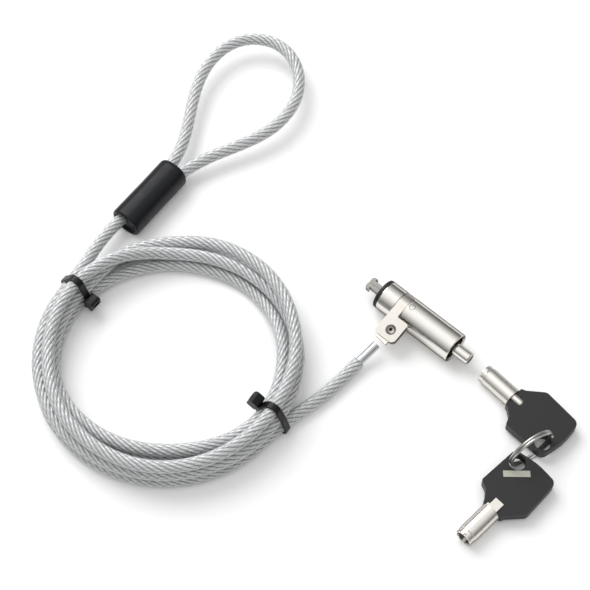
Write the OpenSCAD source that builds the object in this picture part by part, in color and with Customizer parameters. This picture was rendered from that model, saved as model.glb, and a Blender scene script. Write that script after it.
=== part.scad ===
// Laptop cable lock: a round lock barrel with a hooked anchor, a swivelling
// cable collar, a coiled steel cable with a crimped loop, and two tubular keys.
// Origin: centre of the rubber washer's front face, on the barrel's axis.
// +X runs along the barrel from the anchor to the key end, +Z is up.

/* [Barrel] */
// Outside diameter of the barrel
barrel_d = 14.9; // [14.5:0.1:18]
// Length of the barrel from the washer's face to the rear rim
barrel_len = 43.6; // [43:0.1:54]
// Bore of the barrel, which takes the lock core and the key
shell_bore_d = 11.4; // [11.2:0.1:11.8]
// Thickness of the rubber face washer
washer_t = 2.0; // [1.4:0.1:2.4]
// Length of the nose shell in front of the collar
nose_len = 8.4; // [8:0.1:11]
// Thickness of the nose shell's front wall
nose_wall = 1.0; // [0.8:0.1:1.4]

/* [Collar] */
// Width of the band that runs round the barrel
band_w = 4.6; // [4:0.1:5.5]
// Thickness of the collar's sheet metal
strip_t = 0.7; // [0.6:0.05:0.75]
// Width of the lug plates along the barrel
lug_w = 11; // [10:0.1:13]
// Distance from the barrel's axis to the outer edge of the lug plates
lug_reach = 17.4; // [16.5:0.1:20]
// Distance from the barrel's axis to the rivet
rivet_reach = 12.4; // [12:0.1:14]
// Diameter of the rivet's shank
rivet_d = 3.0; // [2.4:0.1:3.4]
// Angle by which the lug slopes down towards the cable
lug_slope = 15; // [13:0.5:16]

/* [Cable ferrule] */
// Thickness of the ferrule's flat tongue
tongue_t = 2.1; // [1.8:0.1:2.4]
// Width of the ferrule's crimped body
ferrule_w = 5.8; // [5:0.1:7]
// Height of the ferrule's crimped body
ferrule_h = 5.0; // [4.6:0.1:5.4]
// Length of the ferrule from the rivet to the cable
ferrule_len = 20.7; // [20:0.1:21]
// Angle by which the ferrule is turned about the rivet at rest
ferrule_yaw = 6.5; // [4:0.5:8]

/* [Anchor] */
// Width of the two hooks side by side, less than the 7 mm slot
anchor_w = 6.8; // [6.4:0.1:7]
// Thickness of the hooks, less than the 3 mm slot
anchor_t = 2.6; // [2.2:0.1:2.8]
// Distance that the hooks stand out in front of the washer
anchor_reach = 8.2; // [7.5:0.1:9]
// Width of the two shanks side by side
shank_w = 4.2; // [3.8:0.1:4.6]
// Angle by which each hook opens when the plunger is pushed in
hook_open = 6.4; // [5:0.1:7]

/* [Plunger] */
// Diameter of the post that stands out of the key end
post_d = 6.0; // [5.6:0.1:6]
// Diameter of the plunger's rod inside the barrel
rod_d = 4.4; // [4:0.1:4.6]
// Distance that the post stands out behind the rear rim
post_reach = 8.4; // [7:0.1:10]
// Travel of the plunger
stroke = 5; // [4:0.1:5.2]

/* [Lock core] */
// Diameter of the circle on which the tumbler pins lie
pin_circle_d = 7.8; // [7.6:0.1:8]
// Diameter of a tumbler pin
pin_d = 1.2; // [1:0.05:1.3]
// Length of the turning core
rotor_len = 6; // [5:0.1:7]

/* [Key] */
// Outside diameter of the key's tube
key_tube_d = 9.0; // [8.6:0.1:9.2]
// Bore of the key's tube
key_bore_d = 6.5; // [6:0.1:6.7]
// Length of the key's tube in front of the head
key_tube_len = 17.9; // [16:0.1:22]
// Length of the whole key
key_len = 48.3; // [46:0.1:52]
// Thickness of the key's plastic head
head_t = 5.0; // [4.6:0.1:5.2]
// Diameter of the hole for the split ring
ring_hole_d = 7.6; // [7.4:0.1:8]

/* [Split ring] */
// Mean diameter of the split ring
ring_d = 22; // [21:0.5:24]
// Diameter of the ring's wire
ring_wire_d = 1.2; // [1:0.1:1.3]

/* [Cable] */
// Diameter of the cable over its clear jacket
cable_d = 6.2; // [5.6:0.1:6.4]
// Diameter of the bare steel rope inside the jacket
rope_d = 4.0; // [3:0.1:4.2]
// Mean diameter of the coil
coil_d = 112; // [108:1:118]
// Height of the wound coil
coil_h = 17.6; // [14:0.1:19]

/* [Loop sleeve] */
// Outside diameter of the black crimp sleeve
sleeve_d = 14.5; // [14.2:0.1:16]
// Length of the crimp sleeve
sleeve_len = 37.7; // [34:0.1:40]

/* [Cable ties] */
// Width of a tie's strap
tie_w = 3.0; // [2.5:0.1:3.6]
// Thickness of a tie's strap
tie_t = 1.1; // [0.9:0.1:1.2]

/* [Hidden] */
$fn = 64;

// Colours of the finishes
nickel = "#c9c5bb";
satin = "#d6d1c5";
black_plastic = "#1d1d1f";
rubber = "#141414";
steel = "#a8a8a8";
brass = "#b8974f";
jacket = "#b4b6b8";

// Clearances
run_gap = 0.05;      // round a shaft or pin that turns
slide_gap = 0.06;    // beside a flat that slides
eps = 0.02;          // what a cut runs past a face

// Barrel
barrel_r = barrel_d/2;
bore_r = shell_bore_d/2;
floor_z = -barrel_r;
collar_x = washer_t + nose_len;
band_end = collar_x + band_w;
band_r = bore_r + 1.0;                       // inside of the band
neck_r = band_r - run_gap;                   // bottom of the barrel's groove
spigot_r = bore_r + 0.6;                     // barrel's spigot inside the nose
spigot_len = 3.4;
washer_r = barrel_r - 0.1;
inner_r = bore_r - run_gap;                  // parts that sit inside the bore

// Anchor
slot_half_w = shank_w/2 + 1.0;               // opening for the shanks in the nose
slot_half_h = anchor_t/2 + 0.2;
pivot_x = 7;                                 // hooks' pivots
pivot_y = 2.6;
pivot_d = 1.6;
base_x = washer_t + nose_wall;
base_end = collar_x + 1.1;
base_web = 1.9;                              // closed rear wall of the anchor base
half_gap = 0.05;                             // between the two hooks
wedge_r = 0.9;                               // plunger's wedge rod
wedge_tip_x = 3.5;                           // tip of the wedge rod at rest

// Lock core
rotor_end = barrel_len - 5.6;
rotor_x = rotor_end - rotor_len;
housing_end = rotor_x - run_gap;
housing_x = band_end + 0.6;
web_x = housing_x + 7.5;                     // front face of the housing's inner web
flange_t = 1.5;
chamber_r = inner_r - 1.05;                  // spring chamber in the housing
flange_r = chamber_r - 0.25;
rod_r = rod_d/2;
spring_wire_r = 0.4;
spring_r = max(flange_r - 2*spring_wire_r,   // the return spring clears the rod in a small bore
               rod_r + spring_wire_r + run_gap);
rod_bore_r = rod_r + run_gap;
post_r = post_d/2;
post_bore_r = post_r + run_gap;
flange_x = web_x - 0.05 - flange_t;          // plunger's flange at rest
tumblers = 7;                                // in eight places, the eighth takes the key's notch
tumbler_step = 45;
pin_r = pin_d/2;
pin_hole_r = pin_r + run_gap;
pin_hole_len = 5.9;
driver_len = 2.9;
catch_x = web_x + 1.3;                       // catch pin beside the plunger
catch_r = 0.6;
catch_len = inner_r - rod_bore_r - 1.2;      // leaves room for its spring
notch_r = rod_r - 0.5;                       // plunger's groove for the catch pin
notch_w = 1.5;
lug_half_w = 0.7;                            // rotor's lug in the key's notch
lug_len = 2.2;
post_start = rotor_end + lug_len + 0.4;      // where the rod steps up to the post
circlip_x = rotor_end + 0.1;
circlip_t = 1.0;
circlip_in_r = bore_r - 0.7;
circlip_out_r = bore_r + 0.4;
dimple_x = band_end + 2.4;                   // retaining pin on top of the barrel
dimple_r = 1.05;
dimple_seat_z = chamber_r + 0.3;

// Collar, drawn level and then turned about the barrel's axis
band_out_r = band_r + strip_t;
plate_top = band_out_r;
plate_low_top = plate_top - strip_t - tongue_t - 0.2;
lug_low_start = sqrt(barrel_r*barrel_r - pow(plate_low_top - strip_t, 2)) + 0.23;
tongue_z = plate_top - strip_t - 0.1 - tongue_t/2;
rivet_x = collar_x + 5.9;
rivet_r = rivet_d/2;
rivet_head_r = 2.25;
lug_start = 5.9;                             // where the wide lug begins
lug_corner_r = 2.5;

// Cable ferrule, measured from the rivet
tongue_r = 3.4;
tongue_half_w = 3.1;
body_start = 6.2;
ferrule_bevel = 1.15;
rope_depth = 12;

// Coil
coil_r = coil_d/2;
coil_pos = [4.8 - coil_r, -90.2];
coil_half_w = cable_d + 0.05;
coil_low = tie_t + 0.05;                     // the coil rests on its two ties
coil_step_r = 3.1;
lead_angle = 182.4;                          // where the lead joins the coil
tail_angle = -2.3;                           // where the tail leaves the coil
lead_join = coil_pos + (coil_r + 3.2)*[cos(lead_angle), sin(lead_angle)];
tail_join = coil_pos + (coil_r + 3.2)*[cos(tail_angle), sin(tail_angle)];

// Sleeve on the loop
sleeve_pos = coil_pos + [-coil_r - 10.3, 56.4];
sleeve_turn = 94.6;
sleeve_z = floor_z + sleeve_d/2;
leg_offset = cable_d/2 + 0.05;
sleeve_round = 2.2;
stub_back = 2.5;                             // end of the cable inside the sleeve

// Routes of the cable where it is not coiled: the third number is the height above the surface,
// and the lead and the loop are measured from the sleeve
tail_route = [[13.6, -41.0, 3.2], [13.4, -48.0, 3.1], [12.9, -56.0, 3.1], [11.6, -64.0, 3.2],
              [10.0, -72.0, 3.7], [8.7, -80.0, 4.4], [8.1, -87.0, 4.4],
              [tail_join[0], tail_join[1], 4.4]];
lead_route = [[-1.2, -25.7, 7.5], [0.2, -33.7, 8.4], [2.4, -41.7, 9.4], [5.0, -49.7, 10.2]];
loop_route = [[-5.3, 24.8, 7.3], [-10.0, 34.3, 7.6], [-16.5, 44.3, 8.0], [-23.5, 55.3, 8.4],
              [-29.0, 66.8, 8.8], [-32.0, 78.8, 9.0], [-30.5, 91.3, 9.0], [-23.5, 100.8, 9.0],
              [-13.0, 105.8, 9.0], [-1.0, 104.3, 9.0], [10.0, 96.8, 9.0], [17.0, 86.3, 9.0],
              [19.5, 74.3, 8.8], [17.0, 61.8, 8.4], [12.5, 49.8, 8.0], [7.0, 38.3, 7.6],
              [2.5, 27.3, 7.3]];

// Keys: place of the tip, direction, and which side lies up
key_1_tip = [barrel_len + post_reach + 8.2, 0.3];
key_1_turn = -4.8;
key_2_tip = key_1_tip + [43.3, -68.55];
key_2_turn = 86;
key_z = floor_z + key_tube_d/2;
key_tube_r = key_tube_d/2;
key_bore_r = key_bore_d/2;
key_bore_len = 9;
ring_hole = [key_len - 5.9, -7.1];
ring_hole_r = ring_hole_d/2;
label_pos = [key_len - 10.2, -3.6];
label_size = [12, 3.0];
label_turn = 45;
shank_half_w = 2.2;
shank_up = head_t/2 + 0.35;
shank_end = key_tube_len + 7.1;
shank_low_end = key_tube_len + 4.9;

// Corners of the key's head and the radius of each
head_corners = [[key_tube_len, -5.1, 0.9], [key_tube_len + 1.7, -5.6, 3],
                [key_tube_len + 5.6, -8.6, 4], [key_tube_len + 7.1, -12.6, 1.6],
                [key_len - 1.9, -11.9, 3.2], [key_len, 0, 30], [key_len - 1.0, 11.3, 3.2],
                [key_tube_len + 9.3, 12.4, 3], [key_tube_len + 1.9, 6.0, 1.5],
                [key_tube_len, 5.3, 0.9]];

// Holes of the two keys in the world, which the split ring threads
hole_1 = key_1_tip + turned(ring_hole, key_1_turn);
hole_2 = key_2_tip + turned([ring_hole[0], -ring_hole[1]], key_2_turn);
ring_r = ring_d/2;
ring_wire_r = ring_wire_d/2;
ring_mid = (hole_1 + hole_2)/2;
ring_span = hole_1 - hole_2 + 2*[1.1, 0.9];  // the ring crosses beside the holes' centres
ring_dir = atan2(ring_span[1], ring_span[0]);
ring_half = norm(ring_span)/2;
ring_z = key_z + sqrt(ring_r*ring_r - ring_half*ring_half);

// ---- helpers ----

function turned(p, a) = [p[0]*cos(a) - p[1]*sin(a), p[0]*sin(a) + p[1]*cos(a)];
function unit(v) = v/norm(v);
function arc(c, r, a0, a1, n = 8) =
    [for (i = [0:n]) c + r*[cos(a0 + (a1 - a0)*i/n), sin(a0 + (a1 - a0)*i/n)]];

// One rounded corner at b between a and c
function rounded(a, b, c, r, n = 6) =
    let (u = unit(a - b), v = unit(c - b))
    let (half = acos(u*v)/2, reach = min(r/tan(half), 0.45*norm(a - b), 0.45*norm(c - b)))
    let (rad = reach*tan(half), mid = b + unit(u + v)*rad/sin(half))
    let (p = b + u*reach - mid, q = b + v*reach - mid)
    let (a0 = atan2(p[1], p[0]), turn = atan2(p[0]*q[1] - p[1]*q[0], p*q))
    [for (i = [0:n]) mid + rad*[cos(a0 + turn*i/n), sin(a0 + turn*i/n)]];

function outline(corners) =
    let (n = len(corners), p = [for (c = corners) [c[0], c[1]]])
    [for (i = [0:n - 1], q = rounded(p[(i + n - 1) % n], p[i], p[(i + 1) % n], corners[i][2])) q];

// Outline moved inwards along its own normals
function inset(p, d) =
    let (n = len(p))
    [for (i = [0:n - 1])
        let (t = unit(p[(i + 1) % n] - p[(i + n - 1) % n])) p[i] + d*[-t[1], t[0]]];

// Faces of a closed skin over m rings of n points each
function skin(m, n) = concat(
    [for (j = [0:m - 2], i = [0:n - 1], low = j*n + i, next = j*n + (i + 1) % n, t = [0, 1])
        t == 0 ? [low, low + n, next + n] : [low, next + n, next]],
    [[for (i = [0:n - 1]) i], [for (i = [n - 1:-1:0]) (m - 1)*n + i]]);

// A round wire swept along points; ref is a direction that the path never takes
module wire(path, r, sides, ref = [0, 0, 1]) {
    m = len(path);
    points = [for (i = [0:m - 1])
        let (t = unit(path[min(i + 1, m - 1)] - path[max(i - 1, 0)]))
        let (s = unit(cross(t, ref)), u = cross(s, t))
        for (k = [0:sides - 1]) path[i] + r*(s*cos(360*k/sides) + u*sin(360*k/sides))];
    polyhedron(points, skin(m, sides), convexity = 6);
}

// A plate whose edges are rounded in small steps; levels holds [half height, inset] pairs
module plate(p, levels) {
    for (l = levels)
        translate([0, 0, -l[0]])
            linear_extrude(2*l[0])
                polygon(inset(p, l[1]));
}

module rod_x(x0, x1, r) {
    translate([x0, 0, 0])
        rotate([0, 90, 0])
            cylinder(r = r, h = x1 - x0);
}

module cone_x(x0, x1, r0, r1) {
    translate([x0, 0, 0])
        rotate([0, 90, 0])
            cylinder(r1 = r0, r2 = r1, h = x1 - x0);
}

module box(low, high) {
    translate(low)
        cube(high - low);
}

// A spring wound about X
module spring_x(x0, x1, mean_r, wire_r, turns, steps, sides) {
    n = turns*steps;
    wire([for (i = [0:n])
        [x0 + wire_r + (x1 - x0 - 2*wire_r)*i/n, mean_r*cos(360*i/steps), mean_r*sin(360*i/steps)]],
        wire_r, sides, [1, 0, 0]);
}

// Places for the tumblers round the axis, leaving the top one free
module at_tumblers() {
    for (i = [1:tumblers])
        rotate([i*tumbler_step, 0, 0])
            translate([0, 0, pin_circle_d/2])
                children();
}

// ---- barrel ----

module face_washer() {
    color(rubber)
        difference() {
            rod_x(0, washer_t, washer_r);
            box([-eps, -slot_half_w, -slot_half_h], [washer_t + eps, slot_half_w, slot_half_h]);
        }
}

module nose_shell() {
    color(nickel)
        difference() {
            rod_x(washer_t, collar_x, barrel_r);
            rod_x(base_x, collar_x + eps, bore_r);
            rod_x(collar_x - spigot_len - 0.1, collar_x + eps, spigot_r + run_gap);
            box([0, -slot_half_w, -slot_half_h], [base_x + eps, slot_half_w, slot_half_h]);
        }
}

module barrel_shell() {
    color(nickel)
        difference() {
            union() {
                rod_x(collar_x - spigot_len, collar_x + eps, spigot_r);
                rod_x(collar_x, band_end + eps, neck_r);
                rod_x(band_end + run_gap, barrel_len - 0.5, barrel_r);
                cone_x(barrel_len - 0.5, barrel_len, barrel_r, barrel_r - 0.5);
            }
            rod_x(0, barrel_len + eps, bore_r);
            cone_x(barrel_len - 0.5, barrel_len + eps, bore_r, bore_r + 0.52);
            rod_x(circlip_x - run_gap, circlip_x + circlip_t + run_gap, circlip_out_r + run_gap);
            translate([dimple_x, 0, 0])
                cylinder(r = dimple_r, h = barrel_r + 1);
        }
}

module anchor_base() {
    slot = anchor_t/2 + slide_gap;
    color(steel)
        difference() {
            rod_x(base_x, base_end, inner_r);
            box([base_x - eps, -inner_r - 1, -slot], [base_end - base_web, inner_r + 1, slot]);
            rod_x(0, base_end + eps, wedge_r + run_gap);
            for (s = [-1, 1])
                translate([pivot_x, s*pivot_y, -inner_r])
                    cylinder(r = pivot_d/2, h = 2*inner_r);
        }
}

module hook_pins() {
    half = sqrt(inner_r*inner_r - pow(pivot_y + pivot_d/2, 2)) - 0.1;
    color(steel)
        for (s = [-1, 1])
            translate([pivot_x, s*pivot_y, -half])
                cylinder(r = pivot_d/2, h = 2*half);
}

// Outline of the far hook; its inner face is relieved along the opening wedge
module hook_outline() {
    w = anchor_w/2;
    s = shank_w/2;
    slope = tan(hook_open);
    throat_x = -anchor_reach + 1.85;
    deep = half_gap + (pivot_x + 1.5)*slope;
    polygon(concat(
        arc([-anchor_reach + 0.6, half_gap + 0.6], 0.6, 270, 180),
        arc([-anchor_reach + 1.3, w - 1.3], 1.3, 180, 90),
        arc([throat_x + 0.55, w - 0.3], 0.3, 90, -60),
        arc([throat_x + 0.6, s + 0.6], 0.6, 180, 270),
        [[pivot_x - 4.2, s]],
        arc([pivot_x, pivot_y], 1.75, 125, -30),
        [[pivot_x + 1.5, deep + 0.35], [pivot_x, deep + 0.1], [-0.8, half_gap + 0.18],
         [-1.6, half_gap]]));
}

module hook(side) {
    color(steel)
        mirror([0, side < 0 ? 1 : 0, 0])
            difference() {
                translate([0, 0, -anchor_t/2])
                    linear_extrude(anchor_t)
                        hook_outline();
                translate([pivot_x, pivot_y, -anchor_t])
                    cylinder(r = pivot_d/2 + run_gap, h = 2*anchor_t);
            }
}

module hook_near() { hook(-1); }
module hook_far() { hook(1); }

module core_housing() {
    color(brass)
        difference() {
            rod_x(housing_x, housing_end, inner_r);
            rod_x(housing_x - eps, web_x, chamber_r);
            rod_x(web_x - eps, housing_end + eps, rod_bore_r);
            at_tumblers()
                rod_x(housing_end - pin_hole_len, housing_end + eps, pin_hole_r);
            translate([catch_x, 0, -inner_r - eps])
                cylinder(r = catch_r + run_gap, h = inner_r);
            translate([dimple_x, 0, dimple_seat_z])
                cylinder(r = dimple_r, h = 3);
        }
}

module retaining_pin() {
    color(nickel)
        translate([dimple_x, 0, 0])
            difference() {
                translate([0, 0, dimple_seat_z])
                    cylinder(r = dimple_r, h = barrel_r - 0.15 - dimple_seat_z);
                translate([0, 0, barrel_r + 0.5])
                    sphere(r = 1.0);
            }
}

module catch_pin() {
    color(steel)
        translate([catch_x, 0, -rod_bore_r - catch_len])
            cylinder(r = catch_r, h = catch_len);
}

module catch_spring() {
    low = inner_r - 0.02;
    color(steel)
        translate([catch_x, 0, 0])
            rotate([0, 90, 0])
                spring_x(rod_bore_r + catch_len + 0.02, low, 0.42, 0.09, 3, 8, 5);
}

module driver_pins() {
    color(brass)
        at_tumblers()
            rod_x(housing_end - driver_len, housing_end, pin_r);
}

module driver_springs() {
    low = housing_end - pin_hole_len;
    color(steel)
        at_tumblers()
            spring_x(low, housing_end - driver_len, 0.45, 0.1, 4, 6, 4);
}

module retaining_ring() {
    color(steel)
        difference() {
            rod_x(circlip_x, circlip_x + circlip_t, circlip_out_r);
            rod_x(circlip_x - eps, circlip_x + circlip_t + eps, circlip_in_r);
            box([circlip_x - eps, -2.6, -barrel_r], [circlip_x + circlip_t + eps, 2.6, 0]);
        }
}

// ---- plunger and core ----

module plunger() {
    shoulder_x = base_end + stroke + 0.3;
    post_end = barrel_len + post_reach;
    color(nickel)
        difference() {
            union() {
                cone_x(wedge_tip_x, wedge_tip_x + 3, 0.5, wedge_r);
                rod_x(wedge_tip_x + 3 - eps, shoulder_x + eps, wedge_r);
                rod_x(shoulder_x, post_start + eps, rod_r);
                rod_x(post_start, post_end - 0.5, post_r);
                cone_x(post_end - 0.5 - eps, post_end, post_r, post_r - 0.5);
                rod_x(flange_x, flange_x + flange_t, flange_r);
            }
            difference() {
                rod_x(catch_x + stroke - notch_w/2, catch_x + stroke + notch_w/2, rod_r + eps);
                rod_x(catch_x, catch_x + 2*stroke, notch_r);
            }
        }
}

module return_spring() {
    color(steel)
        spring_x(base_end, flange_x, spring_r, spring_wire_r, 5.5, 16, 6);
}

module lock_rotor() {
    color(brass)
        difference() {
            union() {
                rod_x(rotor_x, rotor_end, inner_r - 0.03);
                box([rotor_end - eps, -lug_half_w, key_bore_r - 0.15],
                    [rotor_end + lug_len, lug_half_w, circlip_in_r - 0.15]);
            }
            rod_x(rotor_x - eps, rotor_end + eps, post_bore_r);
            at_tumblers()
                rod_x(rotor_x - eps, rotor_end + eps, pin_hole_r);
        }
}

module key_pins() {
    color(steel)
        at_tumblers()
            rod_x(rotor_x, rotor_end - 0.5, pin_r);
}

// ---- collar and cable ferrule ----

module level_collar() {
    rotate([lug_slope, 0, 0])
        children();
}

// A lug plate with rounded outer corners, seen from above
module lug(z0, z1, start) {
    x1 = collar_x + lug_w;
    y0 = -lug_reach;
    r = lug_corner_r;
    box([collar_x, y0 + r, z0], [x1, -start, z1]);
    box([collar_x + r, y0, z0], [x1 - r, -start, z1]);
    for (x = [collar_x + r, x1 - r])
        translate([x, y0 + r, z0])
            cylinder(r = r, h = z1 - z0);
}

module collar_clip() {
    low = plate_low_top - strip_t;
    high = plate_top - strip_t;
    join = sqrt(band_out_r*band_out_r - plate_low_top*plate_low_top) - 0.05;
    color(satin)
        level_collar()
            difference() {
                union() {
                    difference() {
                        rod_x(collar_x, band_end, band_out_r);
                        rod_x(collar_x - eps, band_end + eps, band_r);
                        box([collar_x - eps, -barrel_r - 1, plate_low_top],
                            [band_end + eps, 0, barrel_r + 1]);
                    }
                    box([collar_x, -lug_start - eps, high], [band_end, eps, plate_top]);
                    box([collar_x, -lug_low_start - eps, low], [band_end, -join + 0.35, plate_low_top]);
                    lug(high, plate_top, lug_start);
                    lug(low, plate_low_top, lug_low_start);
                }
                translate([rivet_x, -rivet_reach, high - 0.1])
                    cylinder(r = rivet_head_r, h = 2);
                translate([rivet_x, -rivet_reach, low - 0.1])
                    cylinder(r = rivet_r, h = 2);
            }
}

// Turned rivet with a dished, hollow head that lies just under the plate's face
module clip_rivet() {
    low = plate_low_top - strip_t;
    head_low = plate_top - strip_t;
    color(satin)
        level_collar()
            translate([rivet_x, -rivet_reach, 0])
                rotate_extrude()
                    polygon([[0, low - 0.6], [rivet_head_r, low - 0.6], [rivet_head_r, low],
                             [rivet_r, low], [rivet_r, head_low], [rivet_head_r, head_low],
                             [rivet_head_r, plate_top - 0.2], [1.2, plate_top - 0.5],
                             [1.2, plate_top - 0.15], [0.7, plate_top - 0.15],
                             [0.7, plate_top - 2.2], [0, plate_top - 2.2]]);
}

module at_rivet() {
    level_collar()
        translate([rivet_x, -rivet_reach, tongue_z])
            rotate([0, 0, -ferrule_yaw])
                children();
}

module cable_ferrule() {
    w = ferrule_w/2;
    h = ferrule_h/2;
    b = ferrule_bevel;
    color(satin)
        at_rivet()
            difference() {
                union() {
                    translate([0, 0, -tongue_t/2])
                        cylinder(r = tongue_r, h = tongue_t);
                    box([-tongue_half_w, -body_start - eps, -tongue_t/2], [tongue_half_w, 0, tongue_t/2]);
                    translate([0, -body_start, 0])
                        rotate([90, 0, 0])
                            linear_extrude(ferrule_len - body_start)
                                polygon([[-w + b, -h], [w - b, -h], [w, -h + b], [w, h - b],
                                         [w - b, h], [-w + b, h], [-w, h - b], [-w, -h + b]]);
                }
                translate([0, 0, -tongue_t])
                    cylinder(r = rivet_r + run_gap, h = 2*tongue_t);
                translate([0, -ferrule_len - eps, 0])
                    rotate([-90, 0, 0])
                        cylinder(r = rope_d/2, h = rope_depth + eps);
            }
}

module rope_end() {
    color(steel)
        at_rivet()
            translate([0, -ferrule_len, 0])
                rotate([-90, 0, 0])
                    cylinder(r = rope_d/2, h = rope_depth - 0.5);
}

// ---- cable ----

// A point given from the rivet in the ferrule's frame, in the part's frame
function from_rivet(y) =
    let (p = turned([0, y], -ferrule_yaw))
    let (q = [rivet_x + p[0], -rivet_reach + p[1], tongue_z])
    [q[0], q[1]*cos(lug_slope) - q[2]*sin(lug_slope), q[1]*sin(lug_slope) + q[2]*cos(lug_slope)];

function above_surface(route) = [for (p = route) [p[0], p[1], p[2] + floor_z]];

function from_sleeve(route) =
    [for (p = route) [sleeve_pos[0] + p[0], sleeve_pos[1] + p[1], p[2] + floor_z]];

// A point on a bore of the sleeve; along runs to the loop's end of it
function in_sleeve(along, across) =
    let (p = sleeve_pos + turned([along, across], sleeve_turn)) [p[0], p[1], sleeve_z];

module cable_tail() {
    color(jacket)
        wire(concat([from_rivet(-ferrule_len), from_rivet(-ferrule_len - 3)], above_surface(tail_route)),
             cable_d/2, 10);
}

module cable_coil() {
    w = coil_half_w;
    low = coil_low;
    mid = coil_low + 2*cable_d;
    top = coil_low + coil_h;
    color(jacket)
        translate([coil_pos[0], coil_pos[1], floor_z])
            rotate_extrude($fn = 96)
                polygon([[coil_r - w + 1.5, low], [coil_r + w - 1.5, low], [coil_r + w, low + 1.5],
                         [coil_r + w, mid - 2], [coil_r + coil_step_r + 1, top - 2.5],
                         [coil_r + coil_step_r - 1, top], [coil_r - coil_step_r, top],
                         [coil_r - coil_step_r - 2, top - 2], [coil_r - w, mid - 2],
                         [coil_r - w, low + 1.5]]);
}

module cable_lead() {
    color(jacket)
        wire(concat([in_sleeve(-sleeve_len/2 + 8, leg_offset), in_sleeve(-sleeve_len/2, leg_offset)],
                    from_sleeve(lead_route),
                    [[lead_join[0], lead_join[1], floor_z + 10.4]]), cable_d/2, 10);
}

module cable_loop() {
    end = sleeve_len/2;
    color(jacket)
        wire(concat([in_sleeve(-end + 8, leg_offset), in_sleeve(end, leg_offset)],
                    from_sleeve(loop_route),
                    [in_sleeve(end, -leg_offset), in_sleeve(-end + stub_back, -leg_offset)]),
             cable_d/2, 10);
}

module loop_sleeve() {
    half = sleeve_len/2;
    r = sleeve_d/2;
    color(black_plastic)
        translate([sleeve_pos[0], sleeve_pos[1], sleeve_z])
            rotate([0, 0, sleeve_turn])
                difference() {
                    rotate([0, 90, 0])
                        rotate_extrude()
                            polygon(concat([[0, -half]],
                                arc([r - sleeve_round, -half + sleeve_round], sleeve_round, 270, 360),
                                arc([r - sleeve_round, half - sleeve_round], sleeve_round, 0, 90),
                                [[0, half]]));
                    for (s = [-1, 1])
                        translate([0, s*leg_offset, 0])
                            rod_x(-half - 1, half + 1, cable_d/2);
                }
}

// A tie round the coil at an angle, out to where the lead or the tail runs beside it;
// the head sits on the inside of the coil
module cable_tie(angle, outer, head_height) {
    in = coil_r - coil_half_w - 0.15;
    out = coil_r + outer;
    top = coil_low + coil_h + 0.15;
    r = 3;
    hw = 2.7;
    color(black_plastic)
        translate([coil_pos[0], coil_pos[1], floor_z])
            rotate([90, 0, angle])
                union() {
                    translate([0, 0, -tie_w/2])
                        linear_extrude(tie_w)
                            difference() {
                                rounded_box([in - tie_t, 0], [out + tie_t, top + tie_t], r + tie_t - 2);
                                rounded_box([in, tie_t], [out, top], r - 2);
                            }
                    box([in - 4.4, head_height - hw, -hw], [in - tie_t + eps, head_height + hw, hw]);
                    box([in - 4.0, head_height + hw - eps, -tie_w/2],
                        [in - 4.0 + tie_t, head_height + hw + 2.4, tie_w/2]);
                }
}

module rounded_box(low, high, r) {
    translate([low[0] + r, low[1]])
        square([high[0] - low[0] - 2*r, high[1] - low[1]]);
    translate([low[0], low[1] + r])
        square([high[0] - low[0], high[1] - low[1] - 2*r]);
    for (x = [low[0] + r, high[0] - r], y = [low[1] + r, high[1] - r])
        translate([x, y])
            circle(r = r);
}

module tie_by_sleeve() { cable_tie(184, cable_d/2 + 3.3, 8); }
module tie_by_tail() { cable_tie(9, cable_d/2 + 5.35, 12); }

// ---- keys ----

module at_key_1() {
    translate([key_1_tip[0], key_1_tip[1], key_z])
        rotate([0, 0, key_1_turn])
            children();
}

module at_key_2() {
    translate([key_2_tip[0], key_2_tip[1], key_z])
        rotate([0, 0, key_2_turn])
            rotate([180, 0, 0])
                children();
}

// The tube with its notch and cuts, and the shank that the head is moulded on
module key_tube() {
    color(nickel)
        difference() {
            union() {
                rod_x(0, key_tube_len, key_tube_r);
                box([key_tube_len - eps, -shank_half_w, -shank_up],
                    [shank_low_end - shank_half_w, shank_half_w, shank_up]);
                translate([shank_low_end - shank_half_w, 0, -shank_up])
                    cylinder(r = shank_half_w, h = 2*shank_up);
                box([shank_low_end - shank_half_w, -shank_half_w, 0],
                    [shank_end - shank_half_w, shank_half_w, shank_up]);
                translate([shank_end - shank_half_w, 0, 0])
                    cylinder(r = shank_half_w, h = shank_up);
            }
            rod_x(-eps, key_bore_len, key_bore_r);
            box([-eps, -lug_half_w - 0.1, 0], [lug_len + 0.2, lug_half_w + 0.1, key_tube_r + 1]);
            at_tumblers()
                translate([-eps, 0, 0.5])
                    rod_x(0, 0.9, pin_r);
        }
}

module key_head() {
    p = outline(head_corners);
    h = head_t/2;
    color(black_plastic)
        difference() {
            plate(p, [[h - 0.5, 0], [h - 0.2, 0.18], [h, 0.5]]);
            box([key_tube_len - 1, -shank_half_w, -h - 1],
                [shank_low_end - shank_half_w, shank_half_w, h + 1]);
            translate([shank_low_end - shank_half_w, 0, -h - 1])
                cylinder(r = shank_half_w, h = 2*h + 2);
            box([shank_low_end - shank_half_w, -shank_half_w, 0], [shank_end - shank_half_w,
                shank_half_w, h + 1]);
            translate([shank_end - shank_half_w, 0, 0])
                cylinder(r = shank_half_w, h = h + 1);
            translate([ring_hole[0], ring_hole[1], -h - 1])
                cylinder(r = ring_hole_r, h = 2*h + 2);
            label_at(-h - 1, -h + 0.5);
        }
}

module label_at(z0, z1) {
    translate([label_pos[0], label_pos[1], 0])
        rotate([0, 0, label_turn])
            translate([-label_size[0]/2, -label_size[1]/2, z0])
                cube([label_size[0], label_size[1], z1 - z0]);
}

module key_label() {
    color(nickel)
        label_at(-head_t/2 + 0.1, -head_t/2 + 0.5);
}

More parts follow.
